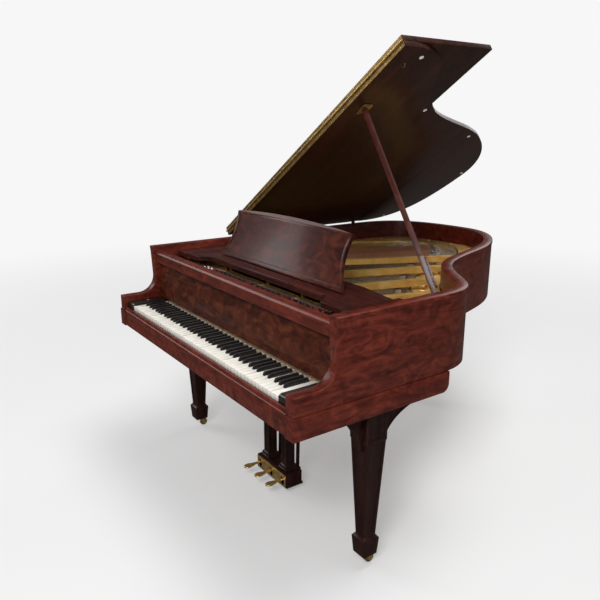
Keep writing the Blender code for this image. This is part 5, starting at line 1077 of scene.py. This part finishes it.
def make_caster(name, x, y):
    centre = Vector((x, y, 0.0))
    place = BASE @ Matrix.Translation(centre)
    side = [(-0.012, 0.0465), (-0.012, 0.041), (0.004, 0.034)] + arc((0.020, 0.0195), 0.0095, 215.0, 360.0,
                                                                     10)
    side += [(0.0285, 0.034), (0.026, 0.0465)]
    plate = cylinder(0.0215, 0.0038, "Z", 32, (0.0, 0.0, 0.0449))
    cheeks = [extruded([side], low, low + 0.0026, "YZ") for low in (-0.0108, 0.0082)]
    crown = box((-0.0108, -0.012, 0.0405), (0.0108, 0.026, 0.0450))
    mesh = union(plate, crown, *cheeks)
    piece("fork_" + name, mesh, BRASS, "fork_%s_body" % name, ["caster_%s_fork" % name], place,
          bevel=0.0006)
    wheel = turned([(0.0, -0.0070), (0.0150, -0.0070), (0.0180, -0.0060), (0.0190, -0.0035), (0.0190, 0.0035),
                    (0.0180, 0.0060), (0.0150, 0.0070), (0.0, 0.0070)], 40)
    axle = cylinder(0.0026, 0.0222, "Z", 16)
    wheel = union(wheel, axle)
    wheel.transform(Matrix.Rotation(math.pi / 2, 4, "Y"))
    place = BASE @ Matrix.Translation(centre + Vector((0.0, 0.020, 0.019)))
    piece("wheel_" + name, wheel, OLD_BRASS, "wheel_%s_body" % name, ["caster_%s_wheel" % name],
          place)


def make_lyre():
    top_z = KEYBED_BOTTOM_Z - GAP
    low_y, high_y = LYRE_Y - 0.041, LYRE_Y + 0.041
    half = 0.116
    shell = box((LYRE_X - half, low_y, 0.034), (LYRE_X + half, high_y, 0.088))
    cavity = box((LYRE_X - 0.103, low_y - 0.02, 0.037), (LYRE_X + 0.103, high_y - 0.012, 0.081))
    shell = cut(shell, cavity)
    forms = [shell]
    for inset_by, low, high in ((0.0, 0.0865, 0.0905), (0.004, 0.090, 0.0935), (0.009, 0.093, 0.0962)):
        forms.append(box((LYRE_X - half + inset_by, low_y + inset_by * 0.6, low),
                         (LYRE_X + half - inset_by, high_y - inset_by * 0.6, high)))
    forms.append(box((LYRE_X - 0.120, low_y, 0.026), (LYRE_X + 0.120, high_y + 0.004, 0.0355), (0.985, 1.0)))
    for side in (-1, 1):
        centre = (LYRE_X + side * 0.070, LYRE_Y)
        sections = ((0.093, 0.064), (0.0985, 0.064), (0.1015, 0.058), (0.1045, 0.056), (0.109, 0.056),
                    (0.113, 0.050),
                    (0.116, 0.044), (0.122, 0.0425), (top_z - 0.097, 0.0425), (top_z - 0.091, 0.045),
                    (top_z - 0.086, 0.052), (top_z - 0.080, 0.056), (top_z - 0.040, 0.056))
        column = square_loft(sections, centre)
        grooves = []
        for quarter in range(4):
            panel = box((-0.0105, 0.0195, 0.135), (0.0105, 0.03, top_z - 0.110))
            panel.transform(Matrix.Translation((centre[0], centre[1],
                                                0.0)) @ Matrix.Rotation(quarter * math.pi / 2, 4, "Z"))
            grooves.append(panel)
        forms.append(cut(column, joined(grooves)))
    forms.append(box((LYRE_X - 0.120, LYRE_Y - 0.040, top_z - 0.048),
                     (LYRE_X + 0.120, LYRE_Y + 0.040, top_z)))
    piece("lyre_wood", joined(forms), SHADED_LEG_WOOD, "case", ["lyre"], bevel=0.0012, segments=2,
          limit=25.0)
    front = low_y - GAP
    outlines = [[(LYRE_X - 0.113, 0.029), (LYRE_X + 0.113, 0.029), (LYRE_X + 0.113, 0.087),
                 (LYRE_X - 0.113, 0.087)]]
    for index in (-1, 0, 1):
        x = LYRE_X + index * 0.090
        slot = arc((x, 0.061), 0.012, 0.0, 180.0, 12) + arc((x, 0.047), 0.012, 180.0, 360.0, 12)
        outlines.append(slot)
    piece("pedal_face", extruded(outlines, -front, -front + 0.0035, "XZ"), BRASS, "case",
          ["pedal_plate"],
          bevel=0.0008, limit=60.0)
    screws = []
    for x in (-0.106, 0.106):
        for z in (0.036, 0.080):
            screw = turned([(0.0, 0.0), (0.0042, 0.0), (0.0036, 0.0012), (0.0, 0.0016)], 20)
            screw.transform(Matrix.Translation((LYRE_X + x, front - 0.0034,
                                                z)) @ Matrix.Rotation(math.pi / 2, 4, "X"))
            screws.append(screw)
    piece("pedal_face_screws", joined(screws), OLD_BRASS, "case")
    pivot_y = LYRE_Y + 0.041 - 0.012 - 0.0075 - GAP
    shape = ((0.004, 0.0075, 0.0050), (-0.045, 0.0075, 0.0050), (-0.080, 0.0068, 0.0048),
             (-0.092, 0.0072, 0.0048),
             (-0.100, 0.0095, 0.0052), (-0.110, 0.0135, 0.0058), (-0.120, 0.0162, 0.0062),
             (-0.130, 0.0170, 0.0062),
             (-0.139, 0.0155, 0.0058), (-0.145, 0.0120, 0.0048), (-0.1485, 0.0075, 0.0034),
             (-0.150, 0.0025, 0.0014))
    for index, name in ((-1, "left"), (0, "middle"), (1, "right")):
        sections = [((0.0, y, 0.0), wide, high) for y, wide, high in shape]
        mesh = union(loft(sections, 24), cylinder(0.0075, 0.025, "X", 24))
        place = BASE @ Matrix.Translation((LYRE_X + index * 0.090, pivot_y, 0.061))
        piece("lever_" + name, mesh, BRASS, name + "_pedal_body", ["pedal_" + name], place,
              smooth=50.0)
    back = high_y + GAP
    cleat_y = KEYBED_DEPTH - 0.030
    forms = [box((LYRE_X - 0.100, cleat_y - 0.020, top_z - 0.018), (LYRE_X + 0.100, cleat_y + 0.020, top_z)),
             box((LYRE_X - 0.084, back, 0.059), (LYRE_X + 0.084, back + 0.018, 0.083))]
    paths = []
    for side in (-1, 1):
        x = LYRE_X + side * 0.070
        paths.append([(x, back + 0.0093, 0.072), (x, cleat_y, top_z - 0.007)])
    piece("lyre_brace_bars", joined(forms), SHADED_LEG_WOOD, "case", ["lyre_brace"], bevel=0.002)
    piece("lyre_brace_rods", tubes(paths, 0.008, 4), SHADED_LEG_WOOD, "case")


# Lid, hinges and prop

def make_lid():
    setback = 0.0035 + GAP + 0.002 + GAP
    rear = behind(inset(OUTLINE, -0.010), LID_SPLIT_Y + setback)
    outline = []
    for x, y in rear:
        widen = 0.008 * min(max(x / HALF_WIDTH, 0.0), 1.0)
        outline.append((x + widen - LID_AXIS_X, y))
    mesh = extruded([outline], LID_UNDERSIDE, LID_TOP - GAP)
    mesh = cut(mesh, hinge_notches(0.0065, LID_UNDERSIDE - 0.01, LID_TOP + 0.01))
    piece("lid_board", mesh, SHADED_LID_WOOD, "lid_body", ["lid"], LID, bevel=0.0055, segments=4,
          limit=60.0)
    flap = box((LID_LOW, setback, GAP / 2), (LID_HIGH, setback + 0.452, 0.022 - GAP / 2))
    flap = cut(flap, hinge_notches(0.043, -0.01, 0.003, LID_SPLIT_Y))
    piece("flap_board", flap, SHADED_LID_WOOD, "flap_body", ["lid_flap"], FLAP, bevel=0.004, segments=4,
          limit=60.0)


def hinge_notches(depth, low, high, start=0.0):
    return joined([box((-0.02, y - 0.036 - start, low), (depth, y + 0.036 - start, high))
                   for y in CASE_HINGE_YS])


def screw_heads(places, facing, radius=0.0030):
    """Countersunk heads, a little proud."""
    heads = []
    for place in places:
        head = turned([(0.0, -0.0006), (radius, -0.0006), (radius, 0.0001), (radius * 0.8, 0.0006),
                       (0.0, 0.0008)], 16)
        head.transform(Matrix.Rotation(RANDOM.uniform(0.0, 3.0), 4, "Z"))
        head.transform(Matrix.Translation(place) @ facing)
        heads.append(head)
    return joined(heads)


def make_long_hinge():
    face = 0.0035 + GAP
    length = LID_HIGH - LID_LOW - 0.004
    low = LID_LOW + 0.002
    leaf = box((low, face, -0.020), (LID_HIGH - 0.002, face + 0.002, -GAP))
    web = box((low, 0.0, -0.0018), (LID_HIGH - 0.002, face + 0.001, -GAP))
    piece("long_hinge_lid_leaf", union(leaf, web), OLD_BRASS, "lid_body", ["lid_hinge_leaf"], FLAP,
          bevel=0.0003, segments=1)
    count = 58
    pitch = length / count
    knuckles = {0: [], 1: []}
    for step in range(count):
        knuckles[step % 2].append(cylinder(0.0034, pitch - 0.0006, "X", 14,
                                           (low + pitch * (step + 0.5), 0.0, 0.0)))
    piece("lid_knuckles", joined(knuckles[0]), BRASS, "lid_body", (), FLAP)
    piece("flap_knuckles", joined(knuckles[1]), BRASS, "flap_body", (), FLAP)
    upper = box((low, face, 0.0006), (LID_HIGH - 0.002, face + 0.002, 0.020))
    piece("long_hinge_flap_leaf", upper, OLD_BRASS, "flap_body", ["flap_hinge_leaf"], FLAP,
          bevel=0.0003, segments=1)
    facing = Matrix.Rotation(math.pi / 2, 4, "X")
    for body, rows in (("lid_body", (-0.0075, -0.0150)), ("flap_body", (0.0085, 0.0155))):
        places = []
        for step in range(34):
            x = low + 0.018 + (length - 0.036) * step / 33
            places.append((x, face, rows[step % 2]))
        piece(body[:4] + "_hinge_screws", screw_heads(places, facing), BRASS, body, (), FLAP)


def make_case_hinges():
    side_x = -HALF_WIDTH - 0.0025 - GAP
    for name, y in zip(("front", "rear"), CASE_HINGE_YS):
        place = BASE @ Matrix.Translation((0.0, y, 0.0))
        outline = [(side_x, 0.945), (side_x, 0.979), (LID_AXIS_X + 0.002, 0.985), (LID_AXIS_X + 0.002, 1.001),
                   (LID_AXIS_X - 0.002, 1.001), (LID_AXIS_X - 0.002, 0.980), (side_x - 0.004, 0.971),
                   (side_x - 0.004, 0.945)]
        mesh = union(extruded([outline], -0.0113, 0.0113, "XZ"),
                     cylinder(0.005, 0.0226, "Y", 24, (LID_AXIS_X, 0.0, LID_AXIS_Z)))
        piece("rim_hinge_" + name, mesh, OLD_BRASS, "case", ["case_hinge_" + name], place,
              bevel=0.0007, limit=50.0)
        facing = Matrix.Rotation(-math.pi / 2, 4, "Y")
        heads = screw_heads([(side_x - 0.004, 0.0, 0.951), (side_x - 0.004, 0.0, 0.964)], facing, 0.0034)
        piece("rim_hinge_screws_" + name, heads, BRASS, "case", (), place)
        place = LID @ Matrix.Translation((0.0, y, 0.0))
        plate = box((0.0, -0.035, LID_TOP), (0.042, 0.035, 0.005))
        plate = cut(plate, box((-0.01, -0.01165, -0.02), (0.006, 0.01165, 0.02)))
        ends = [cylinder(0.005, 0.0230, "Y", 24, (0.0, side * 0.02333, 0.0)) for side in (-1, 1)]
        piece("lid_hinge_" + name, union(plate, joined(ends)), OLD_BRASS, "lid_body",
              ["lid_strap_" + name], place,
              bevel=0.0005, limit=50.0)


def prop_frame():
    tip = LID @ Vector((PROP_TIP_U, PROP_TIP_Y, LID_UNDERSIDE - 0.004 - GAP))
    up = (LID.to_3x3() @ Vector((0.0, 0.0, 1.0))).normalized()
    base = tip - up * PROP_LENGTH
    azimuth = math.radians(138.0)
    flat = Vector((math.cos(azimuth), math.sin(azimuth), 0.0))
    fold = (flat - up * flat.dot(up)).normalized()
    pin = fold.cross(up).normalized()
    matrix = Matrix((pin, fold, up)).transposed().to_4x4()
    matrix.translation = base
    return matrix


def make_prop():
    place = prop_frame()
    half = 0.0105
    outline = arc((0.0, 0.0), 0.013, 180.0, 360.0, 20)
    outline += [(0.013, 0.150), (0.0122, 0.156), (half, 0.163), (half, 0.757), (half - 0.005, 0.763),
                (-half + 0.005, 0.763), (-half, 0.757), (-half, 0.163), (-0.0122, 0.156), (-0.013, 0.150)]
    mesh = extruded([outline], -half, half, "YZ")
    mesh = cut(mesh, cylinder(0.0041, 0.06, "X", 24))
    piece("prop_stick", mesh, PROP_WOOD, "prop_body", ["lid_prop"], place, bevel=0.0016,
          segments=3, limit=45.0)
    side = half + GAP
    outline = arc((0.0, 0.0), 0.0085, 180.0, 360.0, 16)
    outline += [(0.0085, 0.094), (0.0035, 0.100), (0.0035, 0.110), (-0.0085, 0.110)]
    short = place @ Matrix.Translation((0.0, 0.0, 0.035))
    piece("short_prop", extruded([outline], side, side + 0.008, "YZ"), PROP_WOOD, "half_prop_body",
          ["half_prop"],
          short, bevel=0.0012, segments=3, limit=45.0)
    rivet = turned([(0.0, 0.0), (0.0045, 0.0), (0.004, 0.0012), (0.0, 0.0018)], 20)
    rivet.transform(Matrix.Translation((side + 0.0079, 0.0, 0.0)) @ Matrix.Rotation(math.pi / 2, 4, "Y"))
    piece("short_prop_rivet", rivet, BRASS, "half_prop_body", (), short)
    inner = half + 2 * GAP
    cheeks = []
    for low in (-inner - 0.004, inner):
        sides = [(-0.011, -0.022), (0.011, -0.022)] + arc((0.0, -0.001), 0.010, 0.0, 180.0, 16)
        cheeks.append(extruded([sides], low, low + 0.004, "YZ"))
    mesh = union(box((-inner - 0.004, -0.011, -0.022), (inner + 0.004, 0.011, -0.0165)), joined(cheeks))
    mesh = union(mesh, cylinder(0.0035, 2 * inner + 0.0095, "X", 20))
    piece("prop_fork", mesh, BRASS, "case", ["prop_bracket"], place, bevel=0.0006, limit=50.0)
    foot = BASE.inverted() @ (place @ Vector((0.0, 0.0, -0.020)))
    post = turned([(0.0, PLATE_TOP_Z + GAP), (0.021, PLATE_TOP_Z + GAP), (0.021, PLATE_TOP_Z + 0.003),
                   (0.017, PLATE_TOP_Z + 0.006),
                   (0.0105, PLATE_TOP_Z + 0.009), (0.0095, PLATE_TOP_Z + 0.014), (0.0095, foot.z - 0.004),
                   (0.0, foot.z)])
    post.transform(Matrix.Translation((foot.x, foot.y, 0.0)))
    piece("prop_post", post, GOLD, "case")
    low = LID_UNDERSIDE - GAP
    outline = []
    for side_u, side_y in ((1, 1), (-1, 1), (-1, -1), (1, -1)):
        first = (PROP_TIP_U + side_u * 0.032, PROP_TIP_Y + side_y * 0.016)
        second = (PROP_TIP_U + side_u * 0.024, PROP_TIP_Y + side_y * 0.024)
        outline += [first, second] if side_u == side_y else [second, first]
    plate = extruded([outline], LID_UNDERSIDE - 0.004, low)
    piece("cup_plate", plate, OLD_BRASS, "lid_body", ["prop_cup_plate"], LID, bevel=0.0008,
          limit=60.0)
    facing = Matrix.Rotation(math.pi, 4, "X")
    corners = [(PROP_TIP_U + side_u * 0.024, PROP_TIP_Y + side_y * 0.015, LID_UNDERSIDE - 0.004)
               for side_u in (-1, 1) for side_y in (-1, 1)]
    piece("cup_plate_screws", screw_heads(corners, facing, 0.0034), BRASS, "lid_body", (), LID)
    edge = [(x - LID_AXIS_X, y) for x, y in behind(inset(OUTLINE, RIM_THICKNESS / 2), LID_SPLIT_Y + 0.06)]
    buttons = []
    for share in (0.02, 0.16, 0.33, 0.50, 0.68, 0.86):
        button = turned([(0.0, 0.0), (0.0085, 0.0), (0.0085, 0.0016), (0.0070, 0.0026), (0.0, 0.0029)], 24)
        button.transform(Matrix.Translation((*along_path(edge, share), LID_UNDERSIDE + 0.0001)) @ facing)
        buttons.append(button)
    piece("lid_buttons", joined(buttons), IVORY, "lid_body", (), LID)
    hook = tubes([[(1.395, 0.640, low), (1.395, 0.640, low - 0.016), (1.401, 0.640, low - 0.021),
                   (1.409, 0.640, low - 0.019), (1.412, 0.640, low - 0.012)]], 0.0016, 3)
    piece("lid_hook", hook, OLD_BRASS, "lid_body", (), LID)


# Music desk

def make_desk():
    wing = 0.585 - GAP
    scoop = 0.460
    radius = 0.040
    right = [(wing, 0.285), (wing, 0.515), (0.400, 0.545)]
    outline = arc((scoop + 0.020, 0.285 + 0.020), 0.020, 180.0, 270.0, 8) + right
    outline += [(-x, y) for x, y in reversed(right)]
    outline += arc((-scoop - 0.020, 0.285 + 0.020), 0.020, 270.0, 360.0, 8)
    outline += arc((-scoop + radius, 0.335 - radius), radius, 180.0, 90.0, 12)
    outline += arc((scoop - radius, 0.335 - radius), radius, 90.0, 0.0, 12)
    mesh = extruded([outline], TRAY_TOP_Z - 0.018, TRAY_TOP_Z)
    piece("tray_board", mesh, TRAY_WOOD, "tray_body", ["desk_tray"], bevel=0.0025, segments=3,
          limit=55.0)
    lip = [(0.337, TRAY_TOP_Z - 0.001), (0.337, TRAY_TOP_Z + 0.003)] + arc((0.3405, TRAY_TOP_Z + 0.0028),
                                                                           0.0032, 180.0, 90.0, 6)
    lip += [(0.345, TRAY_TOP_Z + 0.0060), (0.3485, TRAY_TOP_Z + 0.0042), (0.350, TRAY_TOP_Z + 0.0012),
            (0.351, TRAY_TOP_Z - 0.001)]
    bead = extruded([lip], -0.420, 0.420, "YZ")
    batten = box((-0.447, 0.397, TRAY_TOP_Z - 0.001), (0.447, 0.413, DESK_AXIS.z - 2 * GAP))
    piece("tray_ledge", joined([bead, batten]), DESK_WOOD, "tray_body", bevel=0.0008)
    for side, name in ((-1, "bass"), (1, "treble")):
        inner = 0.585 + GAP
        outline = [(side * inner, TRAY_TOP_Z), (side * inner, 0.934 - GAP),
                   (side * (inner - 0.035), 0.934 - GAP),
                   (side * (inner - 0.035), RAIL_LIP_BOTTOM_Z), (side * FIT_X, RAIL_LIP_BOTTOM_Z),
                   (side * FIT_X, TRAY_TOP_Z)]
        piece("rail_" + name, extruded([outline], -0.545, -0.285, "XZ"), TRAY_WOOD, "case",
              ["desk_rail_" + name],
              bevel=0.0018, segments=3, limit=55.0)
    board = desk_outline(0.0)
    border = [board, desk_outline(0.016)]
    back = extruded([board], GAP, 0.0107, "XZ")
    piece("desk_board", back, DESK_WOOD, "desk_body", ["music_desk"], DESK, bevel=0.0014,
          segments=2, limit=55.0)
    piece("desk_border", extruded(border, 0.0107, 0.0123, "XZ"), DESK_WOOD, "desk_body", (),
          DESK, bevel=0.0007,
          limit=55.0)
    ears = [box((side * 0.0355 - 0.004, -0.001, 0.051), (side * 0.0355 + 0.004, 0.0055, 0.059))
            for side in (-1, 1)]
    piece("strut_ears", joined(ears), BRASS, "desk_body", (), DESK, bevel=0.0006)
    length = math.hypot(0.055, 0.0035)
    outline = arc((0.0, 0.0), 0.003, 0.0, 180.0, 10) + arc((0.0, 0.0027 - length), 0.003, 180.0, 360.0, 10)
    mesh = extruded([outline], -0.030, 0.030, "YZ")
    lean = DESK_LEAN + math.atan2(0.0035, 0.055)
    place = DESK @ Matrix.Translation((0.0, 0.0035, 0.055)) @ Matrix.Rotation(lean + DESK_LEAN, 4, "X")
    piece("strut_board", mesh, DESK_WOOD, "strut_body", ["desk_strut"], place, bevel=0.0006)


def desk_outline(trim):
    """The desk's waisted outline with its arched top, drawn in by trim."""
    steps = 28
    low = GAP + (trim * 1.2 if trim else 0.0)
    side = []
    for step in range(steps + 1):
        t = step / steps
        straight = 0.447 + (0.412 - 0.447) * t
        height = low + (0.213 - trim - low) * t
        side.append((straight - 4 * t * (1 - t) * 0.0265 - trim, height))
    top = []
    for step in range(1, 36):
        half = 0.412 - trim
        top.append((half * (1 - 2 * step / 36), 0.213 - trim + 0.018 * math.sin(math.pi * step / 36) ** 0.7))
    return side + top + [(-x, z) for x, z in reversed(side)]


# Stage

def make_stage():
    mesh = bpy.data.meshes.new("floor")
    work = bmesh.new()
    bmesh.ops.create_grid(work, x_segments=1, y_segments=1, size=30.0)
    work.to_mesh(mesh)
    work.free()
    floor = linked("floor", mesh)
    material, nodes, links, shader = shader_material("floor_paint")
    shader.inputs["Roughness"].default_value = 0.85
    shader.inputs["Specular IOR Level"].default_value = 0.1
    cloud = textured(nodes, links, 0.8, 2.0)
    links.new(ramp(nodes, links, cloud, ((0.3, (0.84, 0.84, 0.84)), (0.7, (0.86, 0.86, 0.86)))),
              shader.inputs["Base Color"])
    place = nodes.new("ShaderNodeTexCoord")
    away = nodes.new("ShaderNodeVectorMath")
    away.operation = "LENGTH"
    links.new(place.outputs["Object"], away.inputs[0])
    fade = nodes.new("ShaderNodeMapRange")
    fade.interpolation_type = "SMOOTHSTEP"
    fade.inputs["From Min"].default_value = 1.2
    fade.inputs["From Max"].default_value = 6.5
    fade.inputs["To Min"].default_value = 0.30
    links.new(away.outputs["Value"], fade.inputs["Value"])
    light_path = nodes.new("ShaderNodeLightPath")
    amount = nodes.new("ShaderNodeMath")
    amount.operation = "MULTIPLY"
    links.new(fade.outputs["Result"], amount.inputs[0])
    links.new(light_path.outputs["Is Camera Ray"], amount.inputs[1])
    glow = nodes.new("ShaderNodeEmission")
    glow.inputs["Strength"].default_value = BACKGROUND
    dark = nodes.new("ShaderNodeBsdfDiffuse")
    dark.inputs["Color"].default_value = (0.12, 0.11, 0.10, 1.0)
    mirrored = nodes.new("ShaderNodeMixShader")
    links.new(light_path.outputs["Is Glossy Ray"], mirrored.inputs[0])
    links.new(shader.outputs[0], mirrored.inputs[1])
    links.new(dark.outputs[0], mirrored.inputs[2])
    blend = nodes.new("ShaderNodeMixShader")
    links.new(amount.outputs[0], blend.inputs[0])
    links.new(mirrored.outputs[0], blend.inputs[1])
    links.new(glow.outputs[0], blend.inputs[2])
    links.new(blend.outputs[0], nodes["Material Output"].inputs["Surface"])
    mesh.materials.append(material)
    world = bpy.data.worlds.new("studio")
    bpy.context.scene.world = world
    world.use_nodes = True
    nodes = world.node_tree.nodes
    links = world.node_tree.links
    light_path = nodes.new("ShaderNodeLightPath")
    strength = nodes.new("ShaderNodeMapRange")
    strength.inputs["To Min"].default_value = 0.26
    strength.inputs["To Max"].default_value = BACKGROUND
    links.new(light_path.outputs["Is Camera Ray"], strength.inputs["Value"])
    dimmed = nodes.new("ShaderNodeMath")
    dimmed.operation = "MULTIPLY_ADD"
    dimmed.inputs[1].default_value = -0.16
    links.new(light_path.outputs["Is Glossy Ray"], dimmed.inputs[0])
    links.new(strength.outputs["Result"], dimmed.inputs[2])
    background = nodes["Background"]
    background.inputs["Color"].default_value = (1.0, 1.0, 1.0, 1.0)
    links.new(dimmed.outputs[0], background.inputs["Strength"])
    for name, place, size, power in (("key", (3.4, -4.2, 4.6), 2.0, 200.0),
                                     ("fill", (-4.6, -3.0, 3.4), 2.4, 60.0),
                                     ("top", (0.6, 0.4, 5.2), 2.4, 130.0),
                                     ("back", (-1.5, 5.2, 3.6), 3.0, 50.0)):
        light = bpy.data.lights.new(name, "AREA")
        light.size = size
        light.energy = power
        item = bpy.data.objects.new(name, light)
        bpy.context.scene.collection.objects.link(item)
        item.location = place
        aim = Vector((0.0, 0.0, 0.8)) - Vector(place)
        item.rotation_euler = aim.to_track_quat("-Z", "Y").to_euler()
    camera = bpy.data.cameras.new("camera")
    camera.lens = 37.28
    camera.sensor_width = 36.0
    camera.clip_end = 100.0
    item = bpy.data.objects.new("camera", camera)
    bpy.context.scene.collection.objects.link(item)
    item.location = (2.1036, -0.9471 + FRONT_Y, 1.5266)
    item.rotation_euler = (math.radians(74.5), 0.0, math.radians(54.858))
    bpy.context.scene.camera = item
    bpy.context.scene.view_settings.view_transform = "Standard"


def dress_cad_nodes():
    for node, material in (("soundboard", SPRUCE), ("inner_rim", BEECH), ("pin_block", BEECH)):
        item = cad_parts[node]
        if not item.material_slots:
            item.data.materials.append(material)
        item.material_slots[0].material = material


make_stage()
make_case()
make_plate()
make_strings()
make_dampers()
make_keyboard()
make_action()
leg_brackets = ((-1, 0.115), (1, 0.220))
make_leg("bass_leg", -LEG_X, LEG_Y, KEYBED_BOTTOM_Z, "leg_bass", leg_brackets)
make_leg("treble_leg", LEG_X, LEG_Y, KEYBED_BOTTOM_Z, "leg_treble", leg_brackets)
make_leg("tail_leg", TAIL_LEG[0], TAIL_LEG[1], RIM_BOTTOM_Z + 0.0015, "leg_tail", ())
make_caster("bass", -LEG_X, LEG_Y)
make_caster("treble", LEG_X, LEG_Y)
make_caster("tail", *TAIL_LEG)
make_lyre()
make_lid()
make_long_hinge()
make_case_hinges()
make_prop()
make_desk()
dress_cad_nodes()

bpy.context.view_layer.update()
